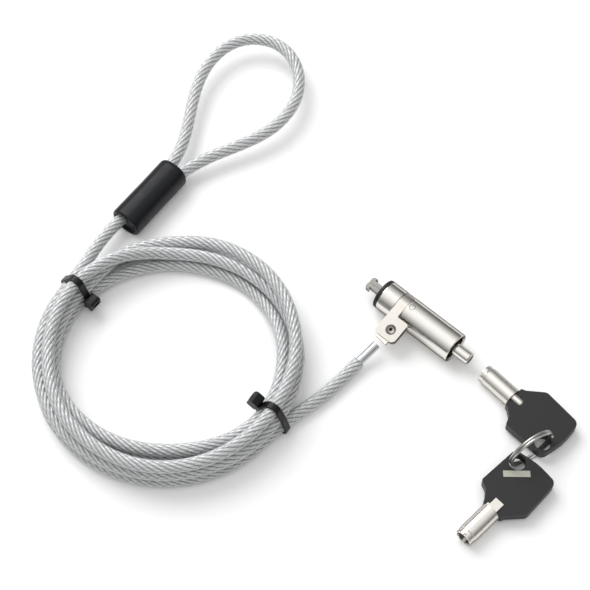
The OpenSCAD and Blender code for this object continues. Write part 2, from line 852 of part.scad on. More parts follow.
module key_1_tube() { at_key_1() key_tube(); }
module key_1_head() { at_key_1() key_head(); }
module key_1_label() { at_key_1() key_label(); }
module key_2_tube() { at_key_2() key_tube(); }
module key_2_head() { at_key_2() key_head(); }
module key_2_label() { at_key_2() key_label(); }

// Two turns of wire side by side, stepping over halfway round
module split_ring() {
    n = 70;
    sweep = 704;
    color(nickel)
        translate([ring_mid[0], ring_mid[1], ring_z])
            rotate([90, 0, ring_dir])
                wire([for (i = [0:n])
                    let (a = 20 + sweep*i/n, t = min(max((a - 350)/50, 0), 1))
                    [ring_r*cos(a), ring_r*sin(a), (ring_wire_r + 0.01)*(2*t - 1)]],
                    ring_wire_r, 8);
}

face_washer();
nose_shell();
barrel_shell();
anchor_base();
hook_pins();
core_housing();
retaining_pin();
catch_pin();
catch_spring();
driver_pins();
driver_springs();
retaining_ring();
hook_near();
hook_far();
plunger();
return_spring();
lock_rotor();
key_pins();
collar_clip();
clip_rivet();
cable_ferrule();
rope_end();
cable_tail();
cable_coil();
cable_lead();
loop_sleeve();
cable_loop();
tie_by_sleeve();
tie_by_tail();
key_1_tube();
key_1_head();
key_1_label();
key_2_tube();
key_2_head();
key_2_label();
split_ring();
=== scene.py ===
# %% [markdown]
# # A laptop cable lock
# The CAD model fixes where everything is and how it moves. This script keeps
# that frame and gives each part its real surface: plated metal, ground
# steel, moulded plastic and a steel rope under a clear vinyl jacket.
# Lengths are written in millimetres and turned into metres by MM. The
# camera, the lamp and the cable's route are in metres. The route starts from
# the CAD's points, and some of them are moved by a few millimetres.

# %% Set up
import math

import bmesh
import bpy
import numpy as np
from mathutils import Matrix, Vector, geometry


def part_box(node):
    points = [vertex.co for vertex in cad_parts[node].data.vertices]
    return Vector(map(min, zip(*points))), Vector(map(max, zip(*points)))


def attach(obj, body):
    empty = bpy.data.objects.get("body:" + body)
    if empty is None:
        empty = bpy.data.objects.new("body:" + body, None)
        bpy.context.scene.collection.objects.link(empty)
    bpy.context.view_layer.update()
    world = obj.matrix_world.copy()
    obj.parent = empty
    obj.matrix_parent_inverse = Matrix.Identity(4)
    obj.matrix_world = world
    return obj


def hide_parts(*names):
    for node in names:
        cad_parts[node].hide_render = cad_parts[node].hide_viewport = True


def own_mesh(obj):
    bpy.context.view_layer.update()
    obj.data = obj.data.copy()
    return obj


MM = 0.001
# The surface that everything lies on, in mm: one barrel radius below the axis
FLOOR = -7.45
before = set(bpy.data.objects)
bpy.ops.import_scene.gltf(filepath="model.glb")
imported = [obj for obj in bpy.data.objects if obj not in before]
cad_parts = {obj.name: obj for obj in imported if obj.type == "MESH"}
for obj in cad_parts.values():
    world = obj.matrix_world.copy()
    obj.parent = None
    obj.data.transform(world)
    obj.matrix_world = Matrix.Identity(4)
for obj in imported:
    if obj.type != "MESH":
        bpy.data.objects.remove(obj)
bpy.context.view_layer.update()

# %% [markdown]
# ## The camera
# It looks down at 61 degrees from 0.8 m. A camera could be aimed by a Track To
# constraint. Nothing moves it later, so its turn is worked out once. The long
# lens keeps the barrel's parallel edges nearly parallel.

# %% Camera
TARGET = Vector((-0.0325, -0.0248, FLOOR * MM))
EYE = Vector((0.2254, -0.3145, 0.6922))

camera = bpy.data.objects.new("camera", bpy.data.cameras.new("camera"))
camera.data.lens = 103.97
camera.data.sensor_width = 36
camera.data.clip_end = 20
camera.location = EYE
camera.rotation_euler = (TARGET - EYE).to_track_quat("-Z", "Y").to_euler()
bpy.context.scene.collection.objects.link(camera)
bpy.context.scene.camera = camera
bpy.context.scene.view_settings.view_transform = "Standard"
print("camera at", tuple(round(v, 3) for v in EYE))

# %% [markdown]
# ## Small tools
# Colours are given as they look on a screen, so they are turned into the
# linear values that the renderer works with.


# %% Colours and nodes
def linear(code):
    """A hex colour as linear RGBA."""
    parts = [int(code[i:i + 2], 16) / 255 for i in (1, 3, 5)]
    light = [c / 12.92 if c <= 0.04045 else ((c + 0.055) / 1.055) ** 2.4 for c in parts]
    return (*light, 1)


def add(tree, kind, settings=None, links=None):
    """Adds a node; settings go to properties or sockets, links to sockets."""
    node = tree.nodes.new(kind)
    for name, value in (settings or {}).items():
        if isinstance(name, str) and hasattr(node, name):
            setattr(node, name, value)
        else:
            node.inputs[name].default_value = value
    for name, source in (links or {}).items():
        tree.links.new(source, node.inputs[name])
    return node


def material(name):
    """An empty material and its node tree."""
    made = bpy.data.materials.new(name)
    made.use_nodes = True
    made.node_tree.nodes.clear()
    return made, made.node_tree


print("screen grey #808080 is linear", round(linear("#808080")[0], 3))

# %% [markdown]
# Meshes are written as points and faces in millimetres. A turned part could
# be a profile with the Screw modifier. Here a function turns the profile, so
# that each radius stays a number that can be read and changed.


# %% Turned shapes
def lathe(profile, sides=96, closed=False):
    """Turns (x, radius) pairs about X; closed joins the last pair to the first.
    A long side gets a ring near each end, which keeps its shading straight."""
    points, rows = [], []
    held = []
    for a, b in zip(profile, profile[1:]):
        held.append(a)
        size = math.dist(a, b)
        if size > 1.5 and min(a[1], b[1]) > 0.5:
            held += [tuple(p + (q - p) * t / size for p, q in zip(a, b))
                     for t in (0.12, size - 0.12)]
    for x, radius in held + [profile[-1]]:
        if radius < 1e-6:
            rows.append([len(points)] * sides)
            points.append((x, 0, 0))
            continue
        rows.append([len(points) + k for k in range(sides)])
        for k in range(sides):
            turn = 2 * math.pi * k / sides
            points.append((x, radius * math.cos(turn), radius * math.sin(turn)))
    pairs = list(zip(rows, rows[1:])) + ([(rows[-1], rows[0])] if closed else [])
    faces = []
    for low, high in pairs:
        for k in range(sides):
            ring = [low[k], low[(k + 1) % sides], high[(k + 1) % sides], high[k]]
            face = list(dict.fromkeys(ring))
            if len(face) > 2:
                faces.append(face)
    return points, faces


print("a plain tube of one step has", len(lathe([(0, 1), (1, 1)])[1]), "faces")

# %% [markdown]
# A plate is an outline raised to a thickness, as a punch cuts it from sheet.
# Blender fills its flat faces, which also works for outlines with holes.


# %% Flat shapes
def plate(outer, holes, low, high):
    """Raises an outline with holes from low to high along Z."""
    loops = [outer] + list(holes)
    flat = [p for loop in loops for p in loop]
    caps = geometry.tessellate_polygon([[Vector((x, y, 0)) for x, y in loop] for loop in loops])
    count = len(flat)
    points = [(x, y, low) for x, y in flat] + [(x, y, high) for x, y in flat]
    faces = [tuple(t) for t in caps] + [tuple(i + count for i in reversed(t)) for t in caps]
    start = 0
    for loop in loops:
        n = len(loop)
        for i in range(n):
            a, b = start + i, start + (i + 1) % n
            faces.append((a, b, b + count, a + count))
        start += n
    return points, faces


def block(low, high):
    """A box between two corners."""
    (x0, y0, z0), (x1, y1, z1) = low, high
    return plate([(x0, y0), (x1, y0), (x1, y1), (x0, y1)], [], z0, z1)


print("a block has", len(block((0, 0, 0), (1, 1, 1))[0]), "points")

# %% [markdown]
# A loft joins sections one after another. It suits whatever changes its
# section along a line: the rope, the sleeve, the ties and the ferrule.


# %% Lofted shapes
def loft(sections, closed=False):
    """Joins rings of points; the ends are capped unless the loft is closed."""
    n = len(sections[0])
    points = [tuple(p) for ring in sections for p in ring]
    rows = len(sections)
    faces = []
    for j in range(rows if closed else rows - 1):
        below, above = j * n, ((j + 1) % rows) * n
        for i in range(n):
            faces.append((below + i, below + (i + 1) % n, above + (i + 1) % n, above + i))
    if not closed:
        faces.append(tuple(reversed(range(n))))
        faces.append(tuple(range((rows - 1) * n, rows * n)))
    return points, faces


def placed(shape, matrix):
    """The same shape, moved by a matrix in millimetres."""
    points, faces = shape
    return [tuple(matrix @ Vector(p)) for p in points], faces


def together(*shapes):
    """Several shapes as one."""
    points, faces = [], []
    for p, f in shapes:
        faces += [tuple(i + len(points) for i in face) for face in f]
        points += list(p)
    return points, faces


two_blocks = together(block((0, 0, 0), (1, 1, 1)), block((2, 0, 0), (3, 1, 1)))
print("two blocks as one shape have", len(two_blocks[0]), "points")

# %% [markdown]
# Outlines are drawn with arcs and with corners that have a radius, the way
# they are given on a workshop drawing.


# %% Outlines
def arc(centre, radius, start, end, steps=8):
    """Points on an arc, with angles in degrees."""
    turns = [math.radians(start + (end - start) * i / steps) for i in range(steps + 1)]
    return [(centre[0] + radius * math.cos(a), centre[1] + radius * math.sin(a)) for a in turns]


def rounded(corners, steps=7):
    """An outline from (x, y, radius) corners."""
    made = []
    for i, (x, y, radius) in enumerate(corners):
        here = Vector((x, y))
        back = Vector(corners[i - 1][:2]) - here
        on = Vector(corners[(i + 1) % len(corners)][:2]) - here
        half = back.angle(on) / 2
        reach = min(radius / math.tan(half), 0.45 * back.length, 0.45 * on.length)
        radius = reach * math.tan(half)
        middle = here + (back.normalized() + on.normalized()).normalized() * radius / math.sin(half)
        first = here + back.normalized() * reach - middle
        last = here + on.normalized() * reach - middle
        turn = math.atan2(first.x * last.y - first.y * last.x, first.dot(last))
        start = math.atan2(first.y, first.x)
        for k in range(steps + 1):
            a = start + turn * k / steps
            made.append((middle.x + radius * math.cos(a), middle.y + radius * math.sin(a)))
    return made


print("a quarter circle has", len(arc((0, 0), 1, 0, 90)), "points")

# %% [markdown]
# Cut and lofted meshes come out with doubled points and faces that point
# both ways, so each one is cleaned. Edges sharper than 35 degrees stay
# sharp, unless a piece says otherwise.


# %% Clean meshes
def bare(name, shape):
    """A plain mesh object, from a shape in millimetres."""
    mesh = bpy.data.meshes.new(name)
    mesh.from_pydata([Vector(p) * MM for p in shape[0]], [], [tuple(f) for f in shape[1]])
    obj = bpy.data.objects.new(name, mesh)
    bpy.context.scene.collection.objects.link(obj)
    return obj


def tidy(obj, sharp=35):
    """Welds doubled points, turns the faces outwards and marks sharp edges."""
    bm = bmesh.new()
    bm.from_mesh(obj.data)
    bmesh.ops.remove_doubles(bm, verts=bm.verts, dist=1e-7)
    bmesh.ops.recalc_face_normals(bm, faces=bm.faces)
    for face in bm.faces:
        face.smooth = True
    for edge in bm.edges:
        edge.smooth = not (edge.is_manifold and edge.calc_face_angle(0) > math.radians(sharp))
    bm.to_mesh(obj.data)
    bm.free()


print("one unit of a shape is", MM, "m")

# %% [markdown]
# A piece is a mesh that rides on a CAD body. A bevel rounds its edges where
# that shows. No real edge is quite sharp, and the thin highlight on the bevel
# is what makes metal look solid. Slots and holes are cut at once by a Boolean
# modifier, because the cutters would otherwise stay in the scene.


# %% Pieces
def piece(name, shape, surface, body, stands_for=(), bevel=0, sharp=35, tools=()):
    """A named piece of the object, cut by tools and with its edges rounded."""
    obj = bare(name, shape)
    tidy(obj, sharp)
    for tool in tools:
        cutter = bare("tool", tool)
        tidy(cutter)
        change = obj.modifiers.new("cut", "BOOLEAN")
        change.operation = "DIFFERENCE"
        change.solver = "EXACT"
        change.object = cutter
        seen = obj.evaluated_get(bpy.context.evaluated_depsgraph_get())
        mesh = bpy.data.meshes.new_from_object(seen)
        obj.modifiers.clear()
        obj.data = mesh
        bpy.data.objects.remove(cutter)
        tidy(obj, sharp)
    if bevel:
        change = obj.modifiers.new("rounded edges", "BEVEL")
        change.width = bevel * MM
        change.segments = 2
        change.limit_method = "ANGLE"
        change.angle_limit = math.radians(sharp)
        change.harden_normals = True
    obj.data.materials.clear()
    obj.data.materials.append(surface)
    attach(obj, body)
    if stands_for:
        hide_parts(*stands_for)
    return obj


print("tools ready, on a surface at", FLOOR, "mm")

# %% [markdown]
# ## Metals
# Plated parts are smooth with a faint grain. Scratches and grain could be
# modelled or painted. A noise costs less: it changes the roughness and lifts
# the surface by a few microns. The grain of real plating is finer than
# 0.25 mm, and is drawn that coarse so that it shows.


# %% Metal finish
def metal(name, colour, roughness, grain_mm=0.25, lift_mm=0.004, stretch=(1, 1, 1), uneven=0.06,
          edge=0.3):
    """A metal with a grain; edge is its tint where it is seen at a low angle, set low to paint a
    dark reflection along the rims.
    """
    made, tree = material(name)
    place = add(tree, "ShaderNodeTexCoord")
    along = add(tree, "ShaderNodeMapping", {"Scale": stretch}, {"Vector": place.outputs["Object"]})
    noise = add(tree, "ShaderNodeTexNoise", {"Scale": 1 / (grain_mm * MM), "Detail": 3},
                {"Vector": along.outputs["Vector"]})
    rough = add(tree, "ShaderNodeMapRange",
                {"From Min": 0.3, "From Max": 0.7, "To Min": roughness - uneven,
                 "To Max": roughness + uneven}, {"Value": noise.outputs["Fac"]})
    bump = add(tree, "ShaderNodeBump", {"Strength": 0.5, "Distance": lift_mm * MM},
               {"Height": noise.outputs["Fac"]})
    shader = add(tree, "ShaderNodeBsdfPrincipled",
                 {"Base Color": linear(colour), "Metallic": 1.0,
                  "Specular Tint": (edge, edge, edge, 1)},
                 {"Roughness": rough.outputs["Result"], "Normal": bump.outputs["Normal"]})
    add(tree, "ShaderNodeOutputMaterial", links={"Surface": shader.outputs["BSDF"]})
    return made


print("metal finish ready")

# %% [markdown]
# The same nickel looks different on each part, because the metal under it was
# polished, stamped, struck or cast first. Each finish is therefore a material
# of its own, with a typical colour for nickel and its own roughness.

# %% Metals
# Bright nickel over polished zinc, on the barrel, nose and plunger: a soft mirror, with a painted
# dark reflection along its rims from the black edge tint
nickel = metal("bright nickel plate", "#ece9e3", 0.17, uneven=0.04, edge=0.0)
# The same plate on the keys, rubbed by use: the mirror is blurred, and its rims are painted dark
# the same way
worn_nickel = metal("worn nickel plate", "#e9e5de", 0.29, uneven=0.05, edge=0.0)
# Satin nickel over the collar's stamped steel: an even grey sheen
satin_nickel = metal("satin nickel plate", "#c5c1ba", 0.34, grain_mm=0.2, uneven=0.05)
# The rivet's plate where the press struck it: darker and less even
rivet_nickel = metal("struck nickel plate", "#7e7972", 0.31, grain_mm=0.2, uneven=0.08)
# Cast ferrule, tumbled before plating: pale faces with a slight roughness
cast_nickel = metal("tumbled nickel casting", "#dcd8d0", 0.3, grain_mm=0.5, lift_mm=0.02)
# Drawn spring wire of the split ring, plated: thin bright lines
spring_wire = metal("plated spring wire", "#c3c2be", 0.3, uneven=0.05)
# Hooks and inner parts of steel, ground along their length: streaks along X
ground_steel = metal("ground steel", "#a09e9a", 0.27, grain_mm=0.12, stretch=(0.15, 1, 1))
# Turned brass of the lock core: warm yellow at the key end
turned_brass = metal("turned brass", "#d3b56a", 0.28)
# Galvanised rope, bare inside the ferrule: dull blue-grey
rope_steel = metal("galvanised steel rope", "#c4c6c8", 0.35)
print("metals made")

# %% [markdown]
# ## Plastics and rubber
# Black plastic is a dark body under a clear reflection. How black it looks is
# decided by the reflection: a fine mould texture spreads it over the whole
# face, and a smooth face keeps it in one spot. The texture is a noise in the
# roughness and in a bump, because it is too small to model.


# %% Moulded finish
def moulded(name, colour, roughness, grain_mm, lift_mm, level=0.5):
    """A plastic or rubber with a mould texture; level is how much it reflects."""
    made, tree = material(name)
    place = add(tree, "ShaderNodeTexCoord")
    noise = add(tree, "ShaderNodeTexNoise", {"Scale": 1 / (grain_mm * MM), "Detail": 2},
                {"Vector": place.outputs["Object"]})
    rough = add(tree, "ShaderNodeMapRange",
                {"From Min": 0.3, "From Max": 0.7, "To Min": roughness - 0.05,
                 "To Max": roughness + 0.05}, {"Value": noise.outputs["Fac"]})
    bump = add(tree, "ShaderNodeBump", {"Strength": 0.6, "Distance": lift_mm * MM},
               {"Height": noise.outputs["Fac"]})
    shader = add(tree, "ShaderNodeBsdfPrincipled",
                 {"Base Color": linear(colour), "IOR": 1.5, "Specular IOR Level": level},
                 {"Roughness": rough.outputs["Result"], "Normal": bump.outputs["Normal"]})
    add(tree, "ShaderNodeOutputMaterial", links={"Surface": shader.outputs["BSDF"]})
    return made


# ABS key heads from a spark-eroded mould: matt, with a fine grain
key_plastic = moulded("black moulded key head", "#151517", 0.5, grain_mm=0.18, lift_mm=0.012)
# Polyolefin heat-shrink over the crimp: smooth, with slow waves of 6 mm
sleeve_plastic = moulded("black heat-shrink sleeve", "#1b1c1f", 0.32, grain_mm=6, lift_mm=0.01,
                         level=0.17)
# Nylon cable ties: half matt, very dark
tie_nylon = moulded("black nylon tie", "#0e0e0f", 0.42, grain_mm=0.6, lift_mm=0.01, level=0.3)
# Rubber face washer: matt, so that it hardly reflects
washer_rubber = moulded("black rubber washer", "#1b1a19", 0.6, grain_mm=0.15, lift_mm=0.015)
# Blank label of coated aluminium foil, on the key heads: a dull warm grey
label_foil = metal("label foil", "#b2b2a6", 0.4)
print("plastics and foil made")

# %% [markdown]
# ## Steel rope
# The rope is galvanised steel wire, laid in strands of many fine wires. The
# strands are geometry, because they show at the edge of the cable. The wires
# are a pattern on the rope's own UV map, where one unit is a strand wide and
# 4 mm long. Real wires are about 0.3 mm thick. They are drawn 2.3 mm apart
# along the rope, so that they still show.


# %% Rope material
UV_LENGTH = 4.0
WIRE_BANDS = 1.1


def wire_material():
    """Bright strands with painted shade in the gaps between them."""
    made, tree = material("galvanised strands")
    place = add(tree, "ShaderNodeUVMap", {"uv_map": "rope"})
    split = add(tree, "ShaderNodeSeparateXYZ", None, {"Vector": place.outputs["UV"]})
    # 0 on the crown of a strand, 1 in the gap beside it, where shade is painted into the colour
    away = add(tree, "ShaderNodeMath", {"operation": "PINGPONG", 1: 0.5}, {0: split.outputs["Y"]})
    gap = add(tree, "ShaderNodeMapRange",
              {"interpolation_type": "SMOOTHSTEP", "From Min": 0.25, "From Max": 0.5,
               "To Min": 0.0, "To Max": 0.9}, {"Value": away.outputs["Value"]})
    # the fine wires of a strand run nearly along the cable
    wires = add(tree, "ShaderNodeTexWave",
                {"wave_type": "BANDS", "bands_direction": "DIAGONAL", "Scale": WIRE_BANDS,
                 "Distortion": 2.5, "Detail": 2.0, "Detail Scale": 1.5},
                {"Vector": place.outputs["UV"]})
    spots = add(tree, "ShaderNodeTexNoise", {"Scale": 3.0, "Detail": 2.0},
                {"Vector": place.outputs["UV"]})
    mottle = add(tree, "ShaderNodeMath", {"operation": "MULTIPLY"},
                 {0: wires.outputs["Fac"], 1: spots.outputs["Fac"]})
    # The painted shade of the gaps is added to the darker lines of the wire pattern, and both mix
    # towards the dark second colour
    shade = add(tree, "ShaderNodeMath", {"operation": "MULTIPLY_ADD", 1: 0.75},
                {0: mottle.outputs["Value"], 2: gap.outputs["Result"]})
    tone = add(tree, "ShaderNodeMix", {"data_type": "RGBA", 6: linear("#e2e4e5"),
                                       7: linear("#66686a")}, {0: shade.outputs["Value"]})
    bump = add(tree, "ShaderNodeBump", {"Strength": 0.5, "Distance": 0.12 * MM},
               {"Height": wires.outputs["Fac"]})
    shader = add(tree, "ShaderNodeBsdfPrincipled", {"Metallic": 0.45, "Roughness": 0.42},
                 {"Base Color": tone.outputs[2], "Normal": bump.outputs["Normal"]})
    add(tree, "ShaderNodeOutputMaterial", links={"Surface": shader.outputs["BSDF"]})
    return made


strands = wire_material()
print("rope material made")

# %% [markdown]
# ## Clear vinyl
# The jacket is soft PVC, extruded over the rope. Glass with refraction would
# be the obvious choice, but the layer is thin and the rope fills it, so light
# is hardly bent. A see-through shader mixed with a pale glossy skin looks the
# same and renders sooner. The mix has an uneven haze, as extruded vinyl has,
# in spots of 2.5 mm.


# %% Jacket material
def jacket_material():
    """A clear skin with a thin haze and a soft shine."""
    made, tree = material("clear vinyl jacket")
    place = add(tree, "ShaderNodeTexCoord")
    noise = add(tree, "ShaderNodeTexNoise", {"Scale": 1 / (2.5 * MM), "Detail": 2},
                {"Vector": place.outputs["Object"]})
    bump = add(tree, "ShaderNodeBump", {"Strength": 0.4, "Distance": 0.03 * MM},
               {"Height": noise.outputs["Fac"]})
    haze = add(tree, "ShaderNodeMapRange",
               {"From Min": 0.3, "From Max": 0.7, "To Min": 0.14, "To Max": 0.24},
               {"Value": noise.outputs["Fac"]})
    clear = add(tree, "ShaderNodeBsdfTransparent", {"Color": (0.99, 0.99, 0.99, 1)})
    skin = add(tree, "ShaderNodeBsdfPrincipled",
               {"Base Color": linear("#f4f4f4"), "Roughness": 0.25, "IOR": 1.53},
               {"Normal": bump.outputs["Normal"]})
    both = add(tree, "ShaderNodeMixShader", None,
               {"Fac": haze.outputs["Result"], 1: clear.outputs["BSDF"], 2: skin.outputs["BSDF"]})
    add(tree, "ShaderNodeOutputMaterial", links={"Surface": both.outputs["Shader"]})
    return made


jacket = jacket_material()
print("jacket material made")

# %% [markdown]
# ## The cable
# One cable runs from the ferrule round the coil, through the black sleeve,
# round the loop and back into the sleeve. Its free stretches are listed
# points: x, y and the height above the surface, in metres.

# %% Points of the free stretches
# Where the cable leaves the ferrule, in the frame and not from the surface
FERRULE_END = (0.013957, -0.033280, -0.003172)
AFTER_FERRULE = (0.013629, -0.036159, -0.003948)
TAIL = [(0.0136, -0.0410, 0.0032), (0.0134, -0.0480, 0.0031), (0.0129, -0.0560, 0.0031),
        (0.0116, -0.0640, 0.0032), (0.0100, -0.0720, 0.0037), (0.0087, -0.0800, 0.0044),
        (0.0081, -0.0870, 0.0044)]
LEAD = [(-0.1187, -0.0595, 0.0075), (-0.1173, -0.0675, 0.0084), (-0.1151, -0.0755, 0.0094),
        (-0.1125, -0.0835, 0.0102)]
LOOP = [(-0.1231, -0.0112, 0.0073), (-0.1272, -0.0003, 0.0076), (-0.1340, 0.0108, 0.0081),
        (-0.1406, 0.0209, 0.0087), (-0.1459, 0.0307, 0.0092), (-0.1496, 0.0422, 0.0098),
        (-0.1497, 0.0550, 0.0102), (-0.1448, 0.0653, 0.0105), (-0.1348, 0.0722, 0.0106),
        (-0.1225, 0.0725, 0.0106), (-0.1119, 0.0672, 0.0104), (-0.1040, 0.0582, 0.0101),
        (-0.0997, 0.0472, 0.0097), (-0.0994, 0.0345, 0.0090), (-0.1025, 0.0229, 0.0084),
        (-0.1073, 0.0118, 0.0079), (-0.1121, 0.0008, 0.0075), (-0.1152, -0.0106, 0.0073)]
print("points chosen by hand:", len(TAIL) + len(LEAD) + len(LOOP))

# %% [markdown]
# Both runs of cable lie side by side in the sleeve, as the crimp presses
# them. The cable's end stops inside it, 2.5 mm from the coil's side. The
# places of both runs are worked out from the sleeve's own, so that they
# follow when it is moved.

# %% Place of the sleeve
SLEEVE_X, SLEEVE_Y, SLEEVE_Z = -0.1175, -0.0338, -0.0002
SLEEVE_TURN = math.radians(94.6)
SLEEVE_HALF = 0.01885
# Each run lies this far from the sleeve's middle line
LEG = 0.00315
CABLE_STOP = -0.01635


def above(points):
    """Points with their height counted from the surface."""
    return [(x, y, z + FLOOR * MM) for x, y, z in points]


def in_sleeve(along, across):
    """A point inside the sleeve."""
    c, s = math.cos(SLEEVE_TURN), math.sin(SLEEVE_TURN)
    return (SLEEVE_X + along * c - across * s, SLEEVE_Y + along * s + across * c, SLEEVE_Z)


print("sleeve of", round(2 * SLEEVE_HALF / MM, 1), "mm")

# %% [markdown]
# ## The coil
# A spiral curve from Blender's menu has even turns. Turns wound by hand cross
# and climb over each other, so the coil is written as keys, from the sleeve
# back to the ferrule: degrees along the winding, mm outside the coil's mean
# circle and mm above the surface. A loop works out the points between them.

# %% Keys of the winding
COIL_X, COIL_Y, COIL_R = -0.0512, -0.0902, 0.056
WINDING = [
    (182.4, 3.2, 9.3), (222, 3.2, 9.3), (312, 2.7, 9.2), (369, 3.2, 9.3), (402, 2.9, 9.3),
    (425, 1.9, 9.4), (447, 0.2, 9.2), (470, -1.5, 8.8), (488, -2.5, 9.0), (497, -2.7, 10.3),
    (507, -2.4, 12.6), (517, -2.0, 14.8), (527, -1.5, 15.6), (547, -1.1, 15.5), (582, -2.0, 15.3),
    (630, 0.2, 15.3), (672, 1.9, 15.3), (729, 0.6, 14.9), (762, 1.9, 15.2), (785, 3.0, 15.4),
    (807, 4.2, 14.2), (830, 4.7, 11.7), (855, 3.3, 9.2), (866, 2.9, 9.2), (877.5, 1.7, 9.1),
    (889, -1.5, 9.1), (900, -3.2, 9.3), (942, -3.4, 9.3), (1032, -8.8, 9.2), (1089, -3.2, 9.3),
    (1122, -3.7, 9.3), (1168, -3.4, 3.1), (1190, -4.6, 3.1), (1212, -5.0, 3.1),
    (1240, -4.4, 3.1), (1270, -3.4, 3.1), (1302, -3.3, 3.1),
    (1392, -8.4, 3.1), (1449, -3.2, 3.1), (1484, 3.2, 3.1), (1797.7, 3.2, 3.1)]
print("coil of", round((WINDING[-1][0] - WINDING[0][0]) / 360, 2), "turns")

# %% [markdown]
# The values between two keys rise or fall evenly and never swing past them,
# because a swing would push one turn into the next. The two ties lie under
# the coil and lift it by 1 mm, and it sinks again over 55 degrees.

# %% Points of the coil
SLEEVE_TIE, TAIL_TIE = 184, 9
LIFT, LIFT_SPAN, LOWEST = 1.0, 55, 0.15


def between(keys, at):
    """Smooth values between keys that never overshoot them."""
    x, y = np.array(keys, float).T
    gap = np.diff(x)
    rise = np.diff(y) / gap
    slope = np.zeros(len(x))
    for i in range(1, len(x) - 1):
        if rise[i - 1] * rise[i] > 0:
            a, b = 2 * gap[i] + gap[i - 1], gap[i] + 2 * gap[i - 1]
            slope[i] = (a + b) / (a / rise[i - 1] + b / rise[i])
    i = np.clip(np.searchsorted(x, at) - 1, 0, len(gap) - 1)
    t = (at - x[i]) / gap[i]
    return ((2 * t**3 - 3 * t**2 + 1) * y[i] + (t**3 - 2 * t**2 + t) * gap[i] * slope[i]
            + (3 * t**2 - 2 * t**3) * y[i + 1] + (t**3 - t**2) * gap[i] * slope[i + 1])


def lift(angle):
    """The coil rests on its ties and sinks to the surface between them."""
    near = [abs((angle - tie + 180) % 360 - 180) for tie in (SLEEVE_TIE, TAIL_TIE)]
    t = min(min(near) / LIFT_SPAN, 1)
    return LOWEST + LIFT * (1 - t * t * (3 - 2 * t))


def winding_points(step=7):
    """The coil's centreline from the tail back to the sleeve."""
    angles = np.arange(WINDING[-1][0], WINDING[0][0], -step)
    side = between([(k[0], k[1]) for k in WINDING], angles)
    high = between([(k[0], k[2]) for k in WINDING], angles)
    made = []
    for a, off, h in zip(angles, side, high):
        r = COIL_R + off * MM
        t = math.radians(a)
        made.append((COIL_X + r * math.cos(t), COIL_Y + r * math.sin(t),
                     FLOOR * MM + (h + lift(a)) * MM))
    return made


print("coil worked out at", len(winding_points()), "points")

# %% [markdown]
# ## One smooth line
# All points are joined by one curve. Blender's smooth curves would pass
# beside the points or swell between them, so this one goes through them and
# is then cut into even steps of 1.5 mm. Averaging takes out the ripples,
# because a steel rope is stiff and bends evenly.

# %% Centreline
SPACING, SMOOTHING = 0.0015, 18


def spline(points, spacing):
    """An even run of points on a smooth curve through the given ones."""
    p = np.array([tuple(2 * np.array(points[0]) - points[1])] + points
                 + [tuple(2 * np.array(points[-1]) - points[-2])])
    fine = []
    for i in range(1, len(p) - 2):
        for t in np.linspace(0, 1, 24, endpoint=False):
            a, b, c, d = p[i - 1], p[i], p[i + 1], p[i + 2]
            fine.append(0.5 * (2 * b + (c - a) * t + (2 * a - 5 * b + 4 * c - d) * t**2
                               + (3 * b - a - 3 * c + d) * t**3))
    fine.append(p[-2])
    fine = np.array(fine)
    run = np.concatenate([[0], np.cumsum(np.linalg.norm(np.diff(fine, axis=0), axis=1))])
    at = np.linspace(0, run[-1], int(round(run[-1] / spacing)) + 1)
    even = np.stack([np.interp(at, run, fine[:, k]) for k in range(3)], axis=1)
    for _ in range(SMOOTHING):
        even[1:-1] += 0.25 * (even[:-2] - 2 * even[1:-1] + even[2:])
    return even, float(np.linalg.norm(np.diff(even, axis=0), axis=1).sum())


route = ([FERRULE_END, AFTER_FERRULE] + above(TAIL) + winding_points() + above(LEAD)[::-1]
         + [in_sleeve(-SLEEVE_HALF, LEG), in_sleeve(0, LEG), in_sleeve(SLEEVE_HALF, LEG)]
         + above(LOOP)
         + [in_sleeve(SLEEVE_HALF, -LEG), in_sleeve(0, -LEG), in_sleeve(CABLE_STOP, -LEG)])
centreline, cable_length = spline(route, SPACING)
print("cable length", round(cable_length, 3), "m in", len(centreline), "points")

# %% [markdown]
# ## The rope
# The rope has eight strands of right-hand lay, one turn in 31 mm. Eight
# separate tubes would have half of their faces inside the rope, where nobody
# sees them. One lobed skin that turns along the line gives the same edge. The
# directions across the line are carried without twist, so the lay stays even.


# %% Directions along the line
def carried_frames(line):
    """Directions across the line that turn with it and never twist."""
    tangents = np.gradient(line, axis=0)
    tangents /= np.linalg.norm(tangents, axis=1)[:, None]
    across = np.cross(tangents[0], (0, 0, 1))
    across /= np.linalg.norm(across)
    out = []
    for t in tangents:
        across = across - t * np.dot(across, t)
        across /= np.linalg.norm(across)
        out.append((across.copy(), np.cross(t, across)))
    return out


print("directions carried along", len(carried_frames(centreline)), "points")

# %% [markdown]
# The skin's section follows eight circles that touch each other round a
# core. Turning it along the line makes the lay. Its UV map turns with it, so
# that the pattern of wires runs along the strands.

# %% Rope
ROPE_R, LAY = 2.95, 31
STRANDS, STRAND_SIDES = 8, 7
# The gaps between strands are never deeper than this share of the radius
GAP_FLOOR = 0.74


def rope_shape(line, radius, lay, count, sides):
    """Round strands about a core, as one lobed skin."""
    half = math.pi / count
    strand = radius * math.sin(half) / (1 + math.sin(half))
    middle = radius - strand
    frames = carried_frames(line)
    run = np.concatenate([[0], np.cumsum(np.linalg.norm(np.diff(line, axis=0), axis=1))])
    around = np.arange(count * sides) * 2 * half / sides
    away = (around + half) % (2 * half) - half
    reach = middle * np.cos(away) + np.sqrt(np.maximum(strand**2 - (middle * np.sin(away))**2, 0))
    reach = np.maximum(reach, GAP_FLOOR * radius)
    rings = []
    for p, (a, b), s in zip(line, frames, run):
        turn = around + 2 * math.pi * s / lay
        rings.append([p + (a * math.cos(w) + b * math.sin(w)) * r for w, r in zip(turn, reach)])
    return rings, run


